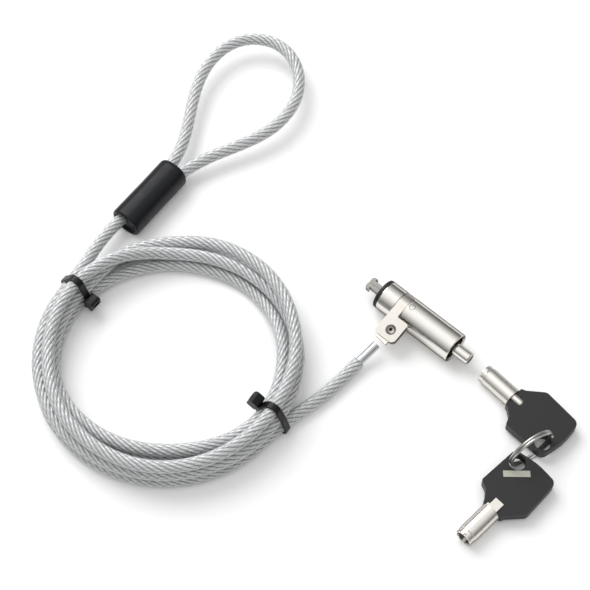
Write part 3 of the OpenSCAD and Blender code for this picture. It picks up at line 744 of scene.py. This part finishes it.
rope_rings, run = rope_shape(centreline / MM, ROPE_R, LAY, STRANDS, STRAND_SIDES)
points, faces = loft(rope_rings)
rope = bare("cable_rope", (points, faces))
layer = rope.data.uv_layers.new(name="rope")
for loop in rope.data.loops:
    row, column = divmod(loop.vertex_index, STRANDS * STRAND_SIDES)
    layer.data[loop.index].uv = (run[row] / UV_LENGTH, column / STRAND_SIDES)
for polygon in rope.data.polygons:
    polygon.use_smooth = True
rope.data.materials.append(strands)
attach(rope, "cable_set")
print("rope has", len(points), "points")

# %% [markdown]
# ## The jacket
# The jacket could be a lofted mesh like the rope.

# %% Jacket
CABLE_D = 0.0062
skin = bpy.data.curves.new("cable_jacket", "CURVE")
skin.dimensions = "3D"
skin.bevel_depth = CABLE_D / 2
skin.bevel_resolution = 5
skin.use_fill_caps = True
line = skin.splines.new("POLY")
line.points.add(len(centreline) - 1)
for point, place in zip(line.points, centreline):
    point.co = (*place, 1)
line.use_smooth = True
cable = bpy.data.objects.new("cable_jacket", skin)
skin.materials.append(jacket)
bpy.context.scene.collection.objects.link(cable)
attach(cable, "cable_set")
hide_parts("cable_tail", "cable_coil", "cable_lead", "cable_loop")
print("jacket made")

# %% [markdown]
# ## The black sleeve
# A crimp under heat-shrink: a straight barrel with soft ends and a shallow
# mouth on the coil's side. A cylinder with a bevel would be too round,
# because the shrunk skin is a little flatter on its sides. A loft of such
# sections gives both the sides and the soft ends.

# %% Sleeve
SLEEVE = (Matrix.Translation((SLEEVE_X / MM, SLEEVE_Y / MM, SLEEVE_Z / MM))
          @ Matrix.Rotation(SLEEVE_TURN, 4, "Z"))
SLEEVE_END = SLEEVE_HALF / MM
HALF_WIDE, HALF_HIGH = 7.75, 7.2
# 1 makes a section an ellipse, and less flattens its sides
FLATNESS = 0.82


def sleeve_ring(x, size):
    """A section of the sleeve: wide, with slightly flat sides."""
    made = []
    for k in range(72):
        c, d = math.cos(math.radians(5 * k)), math.sin(math.radians(5 * k))
        made.append((x, size * HALF_WIDE * math.copysign(abs(c) ** FLATNESS, c),
                     size * HALF_HIGH * math.copysign(abs(d) ** FLATNESS, d)))
    return made


# Each end as (mm from the end, share of the full section)
mouth = [(1.6, 0.74), (1.5, 0.76), (0.3, 0.79), (0.0, 0.83), (0.0, 0.87), (0.12, 0.93),
         (0.4, 0.97), (0.9, 0.995), (1.2, 1.0), (4.0, 1.0)]
far = [(4.0, 0.995), (2.2, 1.0), (1.6, 0.995), (0.8, 0.96), (0.3, 0.9), (0.05, 0.83), (0, 0.76)]
sleeve_rings = ([sleeve_ring(-SLEEVE_END + x, size) for x, size in mouth]
                + [sleeve_ring(0, 0.985)]
                + [sleeve_ring(SLEEVE_END - x, size) for x, size in far])
sleeve = piece("loop_sleeve_skin", placed(loft(sleeve_rings), SLEEVE), sleeve_plastic,
               "cable_set", ["loop_sleeve"], sharp=50)
print("sleeve made")

# %% [markdown]
# ## The cable ties
# A nylon tie pulls its strap tight round the turns of cable. The strap could
# be a ring of a fixed shape, but it wouldn't fit when the coil changes. So it
# is worked out: first the places where the cable crosses the tie's plane,
# then the tight outline round circles at those places.


# %% Where the cable crosses a tie
def crossings(angle):
    """Where the cable crosses the half plane at an angle: mm out, mm up."""
    away = centreline - np.array((COIL_X, COIL_Y, FLOOR * MM))
    turn = np.degrees(np.arctan2(away[:, 1], away[:, 0]))
    off = (turn - angle + 180) % 360 - 180
    out = np.hypot(away[:, 0], away[:, 1])
    found = []
    for i in range(len(off) - 1):
        if off[i] * off[i + 1] <= 0 and abs(off[i]) < 10 and abs(out[i] - COIL_R) < 0.016:
            t = off[i] / (off[i] - off[i + 1])
            found.append(((out[i] + t * (out[i + 1] - out[i])) / MM,
                          (away[i, 2] + t * (away[i + 1, 2] - away[i, 2])) / MM))
    return found


def hull(points):
    """The convex outline of flat points, anticlockwise."""
    points = sorted(set(points))

    def half(run):
        kept = []
        for p in run:
            while len(kept) > 1 and ((kept[-1][0] - kept[-2][0]) * (p[1] - kept[-2][1])
                                     <= (kept[-1][1] - kept[-2][1]) * (p[0] - kept[-2][0])):
                kept.pop()
            kept.append(p)
        return kept[:-1]
    return half(points) + half(points[::-1])


print("ties hold", len(crossings(SLEEVE_TIE)), "and", len(crossings(TAIL_TIE)), "runs of cable")

# %% [markdown]
# The outline is cut into even steps, so that the inner and the outer side of
# a strap have as many points and can be lofted.


# %% Outline of a strap
def strap_outline(angle, gap, steps=96):
    """An even outline round the cables, a gap outside them."""
    radius = CABLE_D / 2 / MM + gap
    ring = hull([(x + radius * math.cos(a), y + radius * math.sin(a))
                 for x, y in crossings(angle) for a in np.linspace(0, 2 * math.pi, 40)])
    ring = np.array(ring + ring[:1])
    run = np.concatenate([[0], np.cumsum(np.linalg.norm(np.diff(ring, axis=0), axis=1))])
    at = np.linspace(0, run[-1], steps, endpoint=False)
    return [(np.interp(t, run, ring[:, 0]), np.interp(t, run, ring[:, 1])) for t in at]


print("strap outline in", len(strap_outline(SLEEVE_TIE, 0)), "steps")

# %% [markdown]
# Each tie has its strap, a head with a mouth on the inside of the coil, and
# the cut end of the strap beside it. The head's corners are round, because
# it is moulded.

# %% Ties
# Inner and outer side of the strap, outside the cables, and half its width
STRAP_GAP, STRAP_OUT, STRAP_HALF = 0.03, 1.1, 1.6


def turned_to(x, y, turn):
    """A place in the tie's plane: mm out, mm up, degrees."""
    return Matrix.Translation((x, y, 0)) @ Matrix.Rotation(math.radians(turn), 4, "Z")


def tie(name, angle, head, tail, node):
    """A strap with its head at (mm out, mm up, degrees) and its cut end."""
    plane = (Matrix.Translation((COIL_X / MM, COIL_Y / MM, FLOOR))
             @ Matrix.Rotation(math.radians(angle), 4, "Z") @ Matrix.Rotation(math.pi / 2, 4, "X"))
    strap = loft([[(*i, -STRAP_HALF), (*i, STRAP_HALF), (*o, STRAP_HALF), (*o, -STRAP_HALF)]
                  for i, o in zip(strap_outline(angle, STRAP_GAP),
                                  strap_outline(angle, STRAP_OUT))], closed=True)
    head_at = plane @ turned_to(*head)
    lock = placed(plate(rounded([(-2.7, -2.6, 1.5), (2.7, -2.6, 1.5), (2.7, 2.6, 1.5),
                                 (-2.7, 2.6, 1.5)]), [], -2.9, 2.9), head_at)
    slit = placed(block((-4, -0.9, -1.7), (-1.6, 0.9, 1.7)), head_at)
    *tail_at, length = tail
    stub = placed(block((-0.5, -0.55, -1.5), (length, 0.55, 1.5)), plane @ turned_to(*tail_at))
    made = [piece(name + "_strap", placed(strap, plane), tie_nylon, "cable_set", [node],
                  bevel=0.25, sharp=50),
            piece(name + "_head", lock, tie_nylon, "cable_set", bevel=0.7, tools=[slit]),
            piece(name + "_end", stub, tie_nylon, "cable_set", bevel=0.25)]
    return made


ties = (tie("sleeve_tie", SLEEVE_TIE, (46.0, 8.5, 0), (47.4, 6.9, -97, 6.0), "tie_by_sleeve")
        + tie("tail_tie", TAIL_TIE, (47.6, 15.5, -30), (48.0, 17.0, 150, 1.5), "tie_by_tail"))
print("ties made of", len(ties), "pieces")

# %% [markdown]
# ## The cable's length
# The joints move only solid bodies.

print("cord of", round(cable_length, 2), "m declared")

# %% [markdown]
# ## The nose and its washer
# The nose is zinc, turned and plated, with a rubber washer against the
# laptop's case. The hooks come out through one slot in both. A cylinder with
# a bevel would do, but a turned profile gives each rim its own small radius,
# and those radii catch the light in rings.

# %% Nose and washer
BARREL_R, BORE_R, NECK_R = -FLOOR, 5.7, 6.65
SLOT = block((-1, -3.1, -1.5), (4, 3.1, 1.5))

washer = piece("face_washer_skin",
               lathe([(2.0, 0), (2.0, 7.35), (1.8, 7.45), (0.5, 7.43), (0.15, 7.28), (0, 6.95),
                      (0, 0)]), washer_rubber, "barrel", ["face_washer"], sharp=60, tools=[SLOT])
nose = piece("nose_shell_skin",
             lathe([(2.02, 0), (2.02, 7.2), (2.1, 7.38), (2.28, BARREL_R), (9.9, BARREL_R),
                    (10.04, 7.34), (10.1, 6.75), (10.38, 6.7), (10.38, 6.4), (6.9, 6.4),
                    (6.9, BORE_R), (3.0, BORE_R), (3.0, 0)]),
             nickel, "barrel", ["nose_shell"], sharp=40, tools=[SLOT])
print("nose and washer made")

# %% [markdown]
# ## The barrel
# The main shell is a turned tube with a neck at the front, where the collar
# runs. A round pin on top holds the lock core. On the real lock it is driven
# in and turned off with the barrel, so its top follows the barrel's round
# and only a thin groove shows. Here the groove is 0.21 mm wide, so that it
# shows in a render, and a cutter in the barrel's round takes off the top.

# %% Barrel and retaining pin
PIN_X, PIN_R, PIN_GROOVE = 17.4, 1.25, 0.21
PIN_FOOT, PIN_TOP = 5, 9
PIN_AT = Matrix.Translation((PIN_X, 0, 0)) @ Matrix.Rotation(-math.pi / 2, 4, "Y")
PIN_HOLE_R = PIN_R + PIN_GROOVE
PIN_HOLE = placed(lathe([(PIN_FOOT, 0), (PIN_FOOT, PIN_HOLE_R), (PIN_TOP, PIN_HOLE_R),
                         (PIN_TOP, 0)], 40), PIN_AT)
# What the turning tool takes off outside the barrel
OFF_R = BARREL_R - 0.02
TURNED_OFF = lathe([(10, OFF_R), (25, OFF_R), (25, 12), (10, 12)], 192, closed=True)

barrel = piece("barrel_shell_skin",
               lathe([(7.0, BORE_R), (7.0, 6.3), (10.4, 6.3), (10.4, NECK_R), (15.05, NECK_R),
                      (15.05, 7.36), (15.14, BARREL_R), (43.1, BARREL_R), (43.38, 7.36),
                      (43.53, 7.2), (43.6, 6.95), (43.6, 6.35), (43.5, 6.15), (43.2, BORE_R),
                      (39.2, BORE_R), (39.2, 6.15), (38.05, 6.15), (38.05, BORE_R)],
                     closed=True), nickel, "barrel", ["barrel_shell"], sharp=40,
               tools=[PIN_HOLE])
pin = piece("retaining_pin_skin",
            placed(lathe([(PIN_FOOT, 0), (PIN_FOOT, PIN_R), (PIN_TOP, PIN_R), (PIN_TOP, 0)], 40),
                   PIN_AT),
            nickel, "barrel", ["retaining_pin"], tools=[TURNED_OFF])
print("barrel made")

# %% [markdown]
# ## The plunger
# One turned rod runs through the whole lock: its front drives the hooks
# apart and its end is the post that a finger pushes in. Separate cylinders
# would have to be joined. One profile holds it all, with the flange for the
# spring and the groove for the catch.

# %% Plunger
post = piece("plunger_skin",
             lathe([(3.5, 0), (3.5, 0.5), (6.5, 0.9), (16.8, 0.9), (16.8, 2.2), (21.55, 2.2),
                    (21.55, 4.4), (23.05, 4.4), (23.05, 2.2), (28.65, 2.2), (28.65, 1.7),
                    (30.15, 1.7), (30.15, 2.2), (40.6, 2.2), (40.6, 3.0), (51.2, 3.0),
                    (51.55, 2.93), (51.83, 2.72), (52.0, 2.4), (52.0, 0)]),
             nickel, "plunger", ["plunger"])
print("plunger made")

# %% [markdown]
# ## The return spring
# A coil spring pushes the post back out. It keeps the CAD spring's place and
# length, with its front end on the anchor base. It doesn't shrink with the
# push, so the plunger's flange cuts into it over the post's 5 mm of travel.

# %% Return spring
SPRING_WIRE_R, SPRING_R, TURNS, STEPS = 0.4, 3.6, 5.5, 24
spring_low, spring_high = (corner[0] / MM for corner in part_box("return_spring"))
spring_length = spring_high - spring_low
spring_rings = []
for step in range(int(TURNS * STEPS) + 1):
    share = step / (TURNS * STEPS)
    x = spring_low + SPRING_WIRE_R + (spring_length - 2 * SPRING_WIRE_R) * share
    turned = share * TURNS * 2 * math.pi
    spring_rings.append([])
    for k in range(12):
        a = math.radians(30 * k)
        away = SPRING_R + SPRING_WIRE_R * math.cos(a)
        spring_rings[-1].append((x + SPRING_WIRE_R * math.sin(a), away * math.cos(turned),
                                 away * math.sin(turned)))
spring = piece("return_spring_skin", loft(spring_rings), ground_steel, "barrel",
               ["return_spring"])
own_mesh(spring)

# %% [markdown]
# ## The hooks
# Two hooks stamped from 2.6 mm steel lie side by side. Each has a rounded
# head that catches behind the wall of the laptop's slot, and a sloping inner
# face for the plunger's wedge. One outline serves both, mirrored for the
# second, and a bevel stands for the edges that tumbling has broken.


# %% Hooks
# Half the thickness, and how far head and shank reach to the side
HOOK_HALF, HEAD_W, SHANK_W = 1.3, 3.4, 2.1
PIVOT_X, PIVOT_Y, PIVOT_R = 7, 2.6, 0.85
HEAD_FRONT = -8.2
# The back of the head, where the slot's wall lies
THROAT = HEAD_FRONT + 1.85


def hook_outline():
    """The far hook from above, from its tip round to the wedge face."""
    slope = math.tan(math.radians(6.4))
    deep = 0.05 + 8.5 * slope
    return (arc((HEAD_FRONT + 0.6, 0.65), 0.6, 270, 180)
            + arc((HEAD_FRONT + 1.3, HEAD_W - 1.3), 1.3, 180, 90)
            + arc((THROAT + 0.55, HEAD_W - 0.3), 0.3, 90, -60)
            + arc((THROAT + 0.6, SHANK_W + 0.6), 0.6, 180, 270) + [(2.8, SHANK_W)]
            + arc((PIVOT_X, PIVOT_Y), 1.75, 125, -30)
            + [(8.5, deep + 0.35), (7, deep + 0.1), (-0.8, 0.23), (-1.6, 0.05)])


for side, name in ((1, "hook_far"), (-1, "hook_near")):
    outline = [(x, y * side) for x, y in hook_outline()]
    pivot = plate(arc((PIVOT_X, PIVOT_Y * side), PIVOT_R, 0, 345, 23), [], -2, 2)
    hook = piece(name + "_skin", plate(outline, [], -HOOK_HALF, HOOK_HALF), ground_steel, name,
                 [name], bevel=0.22, sharp=40, tools=[pivot])
print("hooks made")

# %% [markdown]
# ## The collar
# A stamped strip runs round the barrel and ends in two lug plates, one above
# the other. It slopes 15 degrees down towards the cable. Bending a flat
# sheet with modifiers would be hard to hold to size. So the strip is raised
# from its side view, and then trimmed to its outline from above.

# %% Collar
SLOPE = Matrix.Rotation(math.radians(15), 4, "X")
ALONG_X = Matrix(((0, 0, 1, 0), (1, 0, 0, 0), (0, 1, 0, 0), (0, 0, 0, 1)))
COLLAR_X, BAND_END, LUG_END = 10.42, 14.98, 21.4
# Thickness of the sheet, tops of the upper and lower plate, and their far end
SHEET, TOP, LOW, PLATES_END = 0.7, 7.4, 4.4, -17.4
OUT_R, IN_R = TOP, 6.7
# The turns at which the band's two faces run into the lower plate
OUT_TURN, IN_TURN = -210, -221.05
RIVET = Vector((16.3, -12.4))

# The strip seen along the barrel: top plate, round the barrel, lower plate
side = ([(PLATES_END, TOP)] + arc((0, 0), OUT_R, 90, OUT_TURN, 90)
        + [(PLATES_END, LOW - SHEET), (PLATES_END, LOW)]
        + arc((0, 0), IN_R, IN_TURN, 90, 90) + [(PLATES_END, TOP - SHEET)])
strip = placed(plate(side, [], COLLAR_X, LUG_END), ALONG_X)
# Its outline from above: narrow on the barrel, wide at the lug
outline = ([(COLLAR_X - 1, 9), (BAND_END, 9)] + arc((BAND_END + 0.5, -5.4), 0.5, 180, 270, 5)
           + arc((LUG_END - 0.8, -6.7), 0.8, 90, 0, 5) + arc((LUG_END - 2.5, -14.9), 2.5, 0, -90)
           + arc((COLLAR_X + 1.6, -15.8), 1.6, -90, -180) + [(COLLAR_X - 1, -15.8)])
around = plate([(5, -25), (27, -25), (27, 12), (5, 12)], [outline[::-1]], -12, 12)
# Behind the band nothing of the strip may stay round the barrel
low_gap = block((BAND_END, -6.8, 2), (27, 0, 5.5))
barrel_room = block((BAND_END, -8.6, -8), (27, 0, 3.66))
EYE_R = 1.55
rivet_hole = plate(arc(RIVET, EYE_R, 0, 352.5, 47), [], 2, 9)
collar = piece("collar_clip_skin", placed(strip, SLOPE), satin_nickel, "collar", ["collar_clip"],
               bevel=0.14, tools=[placed(t, SLOPE)
                                   for t in (around, low_gap, barrel_room, rivet_hole)])
print("collar made")

# %% [markdown]
# ## The rivet
# The rivet holds both plates and the ferrule, and is dished where the press
# struck it. Its dish could be cut out of a cylinder. It is round, so its
# whole section is turned at once: foot, shank, rim and dish.

# %% Rivet
RIVET_AT = SLOPE @ Matrix.Translation((RIVET.x, RIVET.y, 0)) @ Matrix.Rotation(-math.pi / 2, 4, "Y")
rivet = piece("clip_rivet_skin",
              placed(lathe([(3.1, 0), (3.1, 2.1), (3.3, 2.25), (3.7, 2.25), (3.7, 1.5),
                            (6.7, 1.5), (6.7, 2.45), (7.5, 2.45), (7.72, 2.35), (7.77, 2.2),
                            (7.7, 2.05), (7.42, 1.55), (7.4, 1.3), (7.42, 0.85), (7.35, 0.72),
                            (5.0, 0.65), (4.0, 0)], 64), RIVET_AT), rivet_nickel, "collar",
              ["clip_rivet"])
print("rivet made")

# %% [markdown]
# ## The ferrule
# A flat tongue turns on the rivet and grows into a crimped body with broad
# bevels. The bare rope ends inside it. A bevelled cube would have the same
# bevel everywhere. A loft of octagons lets the bevels widen from the tongue
# to the body, as on the cast part.

# %% Ferrule
TONGUE_Z, FERRULE_TURN = 5.55, -6.5
FERRULE = (SLOPE @ Matrix.Translation((RIVET.x, RIVET.y, TONGUE_Z))
           @ Matrix.Rotation(math.radians(FERRULE_TURN), 4, "Z"))


def octagon(y, w, h, b):
    """A section of the body: half width, half height and bevel."""
    flat = [(-w + b, -h), (w - b, -h), (w, -h + b), (w, h - b), (w - b, h), (-w + b, h),
            (-w, h - b), (-w, -h + b)]
    return [(x, y, z) for x, z in flat]


tongue = plate(arc((0, 0), 3.4, -24, 204, 40) + [(-3.1, -6.6), (3.1, -6.6)], [], -1.05, 1.05)
body = loft([octagon(-5.9, 2.7, 0.8, 0.3), octagon(-6.3, 3.05, 1.2, 0.45),
             octagon(-7.2, 3.05, 1.95, 0.8), octagon(-8.4, 2.95, 2.42, 1.1),
             octagon(-9.6, 2.9, 2.5, 1.15), octagon(-20.3, 2.85, 2.5, 1.15),
             octagon(-20.7, 2.55, 2.2, 1.0)])
eye = plate(arc((0, 0), EYE_R, 0, 352.5, 47), [], -2, 2)
ferrule = piece("cable_ferrule_skin", placed(together(body, tongue), FERRULE), cast_nickel,
                "cable_set", ["cable_ferrule"], bevel=0.3, sharp=30, tools=[placed(eye, FERRULE)])
print("ferrule made")

# %% [markdown]
# ## The keys
# Both keys are the same, and the second lies turned over. They rest on their
# tubes, which sets their height. The head could be a box that is subdivided
# and pushed into shape. An outline keeps each corner's own radius, and such
# radii are what a mould for plastic has everywhere.

# %% Sizes and places of the keys
TUBE_R, TUBE_LEN, KEY_LEN = 4.5, 17.9, 48.3
KEY_Z = FLOOR + TUBE_R
KEYS = {
    "key_1": Matrix.Translation((60.2, 0.3, KEY_Z)) @ Matrix.Rotation(math.radians(-4.8), 4, "Z"),
    "key_2": (Matrix.Translation((103.5, -68.25, KEY_Z))
              @ Matrix.Rotation(math.radians(86), 4, "Z") @ Matrix.Rotation(math.pi, 4, "X"))}
RING_HOLE, RING_HOLE_R = (42.4, -7.1), 3.8
# Middle of the label, and half its length and width
LABEL, LABEL_LONG, LABEL_WIDE = (38.1, -3.6), 6, 1.5
HEAD_HALF = 2.5
HEAD = [(TUBE_LEN, -5.1, 0.9), (TUBE_LEN + 1.7, -5.6, 3), (TUBE_LEN + 5.6, -8.6, 4),
        (TUBE_LEN + 7.1, -12.6, 1.6), (KEY_LEN - 1.9, -11.9, 3.2), (KEY_LEN, 0, 30),
        (KEY_LEN - 1.0, 11.3, 3.2), (TUBE_LEN + 9.3, 12.4, 3), (TUBE_LEN + 1.9, 6.0, 1.5),
        (TUBE_LEN, 5.3, 0.9)]
print("keys lie at", round(KEY_Z, 2), "mm")

# %% [markdown]
# The shank joins the tube to the head. It ends in a round nose on one side
# and a stepped tab on the other.


# %% Shank
def shank():
    """The end of the shank: a round nose on one side, a stepped tab on the other."""
    nose = lathe([(TUBE_LEN - 1, 0), (TUBE_LEN - 1, 2.0), (TUBE_LEN + 4.4, 2.0)]
                 + [(TUBE_LEN + 4.4 + 1.6 * math.sin(a), 2.0 * math.cos(a))
                    for a in np.linspace(0.2, math.pi / 2, 8)], 40)
    step = plate([(TUBE_LEN - 1, -3.3), (TUBE_LEN + 1.2, -3.3), (TUBE_LEN + 1.2, -2.3),
                  (TUBE_LEN + 5.2, -2.3), (TUBE_LEN + 5.2, 2.4), (TUBE_LEN - 1, 2.4)], [],
                 -3.2, -2.0)
    return together(placed(nose, Matrix.Translation((0, 0, 1.4))), step)


print("shank has", len(shank()[0]), "points")

# %% [markdown]
# The tube has a notch for the core's lug and seven shallow cuts for its
# pins. They don't run all round, so the turned profile can't hold them, and
# Booleans cut them one by one. The head's bevel has more steps than the
# others, because its large soft edges are seen.


# %% Keys
def key(name, matrix):
    """Tube, shank, head and blank label of one key."""
    cuts = [block((-0.1, -0.8, 0), (2.4, 0.8, 6))]
    for k in range(1, 8):
        a = math.radians(45 * k)
        spot = Matrix.Translation((0, 3.95 * math.sin(-a), 3.95 * math.cos(a)))
        cuts.append(placed(lathe([(-1, 0), (-1, 0.6), (0.9, 0.6), (0.9, 0)], 20), spot))
    tube = lathe([(9, 0), (9, 3.25), (0.15, 3.25), (0, 3.4), (0, 3.95), (0.07, 4.12),
                  (0.25, 4.2), (2.8, 4.2), (2.9, 4.42), (3.0, TUBE_R), (TUBE_LEN - 0.1, TUBE_R),
                  (TUBE_LEN, 4.4), (TUBE_LEN, 0)])
    made = [piece(name + "_tube_skin", placed(tube, matrix), worn_nickel, name, [name + "_tube"],
                  tools=[placed(c, matrix) for c in cuts]),
            piece(name + "_shank", placed(shank(), matrix), worn_nickel, name, bevel=0.25)]
    hole = arc(RING_HOLE, RING_HOLE_R, 0, 352.5, 47)[::-1]
    slab = plate(rounded(HEAD), [hole], -HEAD_HALF, HEAD_HALF)
    head = piece(name + "_head_skin", placed(slab, matrix), key_plastic, name,
                 [name + "_head"], bevel=0.65, sharp=50)
    head.modifiers["rounded edges"].segments = 4
    turn = matrix @ Matrix.Translation((*LABEL, 0)) @ Matrix.Rotation(math.radians(45), 4, "Z")
    sheet = block((-LABEL_LONG, -LABEL_WIDE, -HEAD_HALF - 0.1),
                  (LABEL_LONG, LABEL_WIDE, -HEAD_HALF + 0.1))
    foil = piece(name + "_label_skin", placed(sheet, turn), label_foil, name,
                 [name + "_label"], bevel=0.05)


for name, matrix in KEYS.items():
    key(name, matrix)
print("keys made")

# %% [markdown]
# ## The split ring
# Two turns of spring wire lie side by side and step over where the first
# turn ends. A torus from the menu has one turn, so the wire is lofted along
# its line, with the same carried directions as the rope. It stands in the
# holes of both heads, which decide where it is and how it is turned.

# %% Ring
holes = [KEYS[name] @ Vector((*RING_HOLE, 0)) for name in ("key_1", "key_2")]
middle = (holes[0] + holes[1]) / 2
# The wire leans against the holes' sides, so it passes beside their middles
OFF_MIDDLE = Vector((1.1, 0.9, 0))
span = holes[0] - holes[1] + 2 * OFF_MIDDLE
apart = span.length / 2
RING_R, RING_WIRE_R = 11.0, 0.6
# Where the wire starts and how far it runs, in degrees
RING_START, RING_RUN = 20, 704
RING = (Matrix.Translation((middle.x, middle.y, KEY_Z + math.sqrt(RING_R**2 - apart**2)))
        @ Matrix.Rotation(math.atan2(span.y, span.x), 4, "Z")
        @ Matrix.Rotation(math.pi / 2, 4, "X"))


def ring_line(steps=220):
    """Nearly two turns, which change sides between 350 and 400 degrees."""
    made = []
    for i in range(steps + 1):
        a = RING_START + RING_RUN * i / steps
        t = min(max((a - 350) / 50, 0), 1)
        made.append((RING_R * math.cos(math.radians(a)), RING_R * math.sin(math.radians(a)),
                     (RING_WIRE_R + 0.01) * (2 * t - 1)))
    return np.array(made)


wire = ring_line()
sections = [[tuple(p + RING_WIRE_R * (a * math.cos(w) + b * math.sin(w)))
             for w in np.linspace(0, 2 * math.pi, 14, endpoint=False)]
            for p, (a, b) in zip(wire, carried_frames(wire))]
ring = piece("split_ring_skin", placed(loft(sections), RING), spring_wire, "ring", ["split_ring"],
             bevel=0.15)
print("ring made")

# %% [markdown]
# ## CAD parts that stay as they are
# What lies inside the lock keeps its CAD shape and takes a real finish. A
# second mesh for each of them would show nothing more, because the barrel
# hides them but for the core's face at the key end.

# %% Inner parts
INSIDE = {
    ground_steel: ["anchor_base", "hook_pins", "catch_pin", "catch_spring", "driver_springs",
                   "retaining_ring", "key_pins"],
    turned_brass: ["core_housing", "driver_pins", "lock_rotor"],
    rope_steel: ["rope_end"]}
for surface, names in INSIDE.items():
    for name in names:
        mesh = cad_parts[name].data
        mesh.materials.clear()
        mesh.materials.append(surface)
print("inner parts finished")

# %% [markdown]
# ## The floor
# White paper, eight metres square, so that its edge is never seen. More light
# would make it white, but would wash out the metal as well. Instead the
# paper glows a little, only for rays that come from the camera, from a gloss
# or through a see-through surface.

# %% Floor
FLOOR_HALF = 4000
floor = bare("floor", ([(-FLOOR_HALF, -FLOOR_HALF, FLOOR), (FLOOR_HALF, -FLOOR_HALF, FLOOR),
                        (FLOOR_HALF, FLOOR_HALF, FLOOR), (-FLOOR_HALF, FLOOR_HALF, FLOOR)],
                       [(0, 1, 2, 3)]))
paper, tree = material("white paper floor")
shader = add(tree, "ShaderNodeBsdfPrincipled",
             {"Base Color": linear("#fbfbfb"), "Roughness": 0.9, "Specular IOR Level": 0.1})
ray = add(tree, "ShaderNodeLightPath")
seen = add(tree, "ShaderNodeMath", {"operation": "ADD"},
           {0: ray.outputs["Is Camera Ray"], 1: ray.outputs["Is Glossy Ray"]})
seen = add(tree, "ShaderNodeMath", {"operation": "ADD", "use_clamp": True},
           {0: seen.outputs["Value"], 1: ray.outputs["Is Transmission Ray"]})
amount = add(tree, "ShaderNodeMath", {"operation": "MULTIPLY", 1: 0.06},
             {0: seen.outputs["Value"]})
glow = add(tree, "ShaderNodeEmission", {"Color": (1, 1, 1, 1)},
           {"Strength": amount.outputs["Value"]})
sheet = add(tree, "ShaderNodeAddShader", None,
            {0: shader.outputs["BSDF"], 1: glow.outputs["Emission"]})
add(tree, "ShaderNodeOutputMaterial", links={"Surface": sheet.outputs["Shader"]})
floor.data.materials.append(paper)
print("floor laid at", FLOOR, "mm")

# %% [markdown]
# ## The surround
# Metal shows what stands around it. An evenly white surround would make it
# look like chalk. So this one is a gradient, bright overhead and on the near
# side and dark towards the horizon, which gives the barrel its dark bands. A
# recorded studio could do the same, but a formula needs no file.

# %% Surround
world = bpy.data.worlds.new("studio")
world.use_nodes = True
bpy.context.scene.world = world
tree = world.node_tree
tree.nodes.clear()
where = add(tree, "ShaderNodeTexCoord")
split = add(tree, "ShaderNodeSeparateXYZ", None, {"Vector": where.outputs["Generated"]})
# Strength by height z: 0.08 + 0.25 z + 0.35 z squared + 0.5 z cubed,
# and more on the near side, where y is below 0
height = split.outputs["Z"]
rise = add(tree, "ShaderNodeMath", {"operation": "MULTIPLY_ADD", 1: 0.5, 2: 0.35}, {0: height})
for extra in (0.25, 0.08):
    rise = add(tree, "ShaderNodeMath", {"operation": "MULTIPLY_ADD", 2: extra},
               {0: rise.outputs["Value"], 1: height})
near = add(tree, "ShaderNodeMath", {"operation": "MULTIPLY"}, {0: split.outputs["Y"], 1: height})
near = add(tree, "ShaderNodeClamp", {"Min": -1.0, "Max": 0.0}, {"Value": near.outputs["Value"]})
rise = add(tree, "ShaderNodeMath", {"operation": "MULTIPLY_ADD", 1: -0.4},
           {0: near.outputs["Result"], 2: rise.outputs["Value"]})
level = add(tree, "ShaderNodeClamp", {"Min": 0.08, "Max": 2.0}, {"Value": rise.outputs["Value"]})
soft = add(tree, "ShaderNodeBackground", {"Color": (1, 1, 1, 1)},
           {"Strength": level.outputs["Result"]})
add(tree, "ShaderNodeOutputWorld", links={"Surface": soft.outputs["Background"]})
print("surround made")

# %% [markdown]
# ## The main light
# One large round lamp stands behind the set on the left. Its size makes the
# shadows soft. A sun lamp would give them hard edges.


# %% Light
def lamp(name, direction, elevation, distance, size, power):
    """An area lamp that faces the middle of the object."""
    a, e = math.radians(direction), math.radians(elevation)
    data = bpy.data.lights.new(name, "AREA")
    data.shape = "ELLIPSE"
    data.size, data.size_y = size
    data.energy = power
    obj = bpy.data.objects.new(name, data)
    away = Vector((math.cos(a) * math.cos(e), math.sin(a) * math.cos(e), math.sin(e)))
    obj.location = TARGET + away * distance
    obj.rotation_euler = (-away).to_track_quat("-Z", "Y").to_euler()
    bpy.context.scene.collection.objects.link(obj)
    return obj


main_light = lamp("main light", direction=170, elevation=48, distance=1.5, size=(1.2, 1.2),
                  power=15.5)
print("main light at", tuple(round(v, 2) for v in main_light.location))
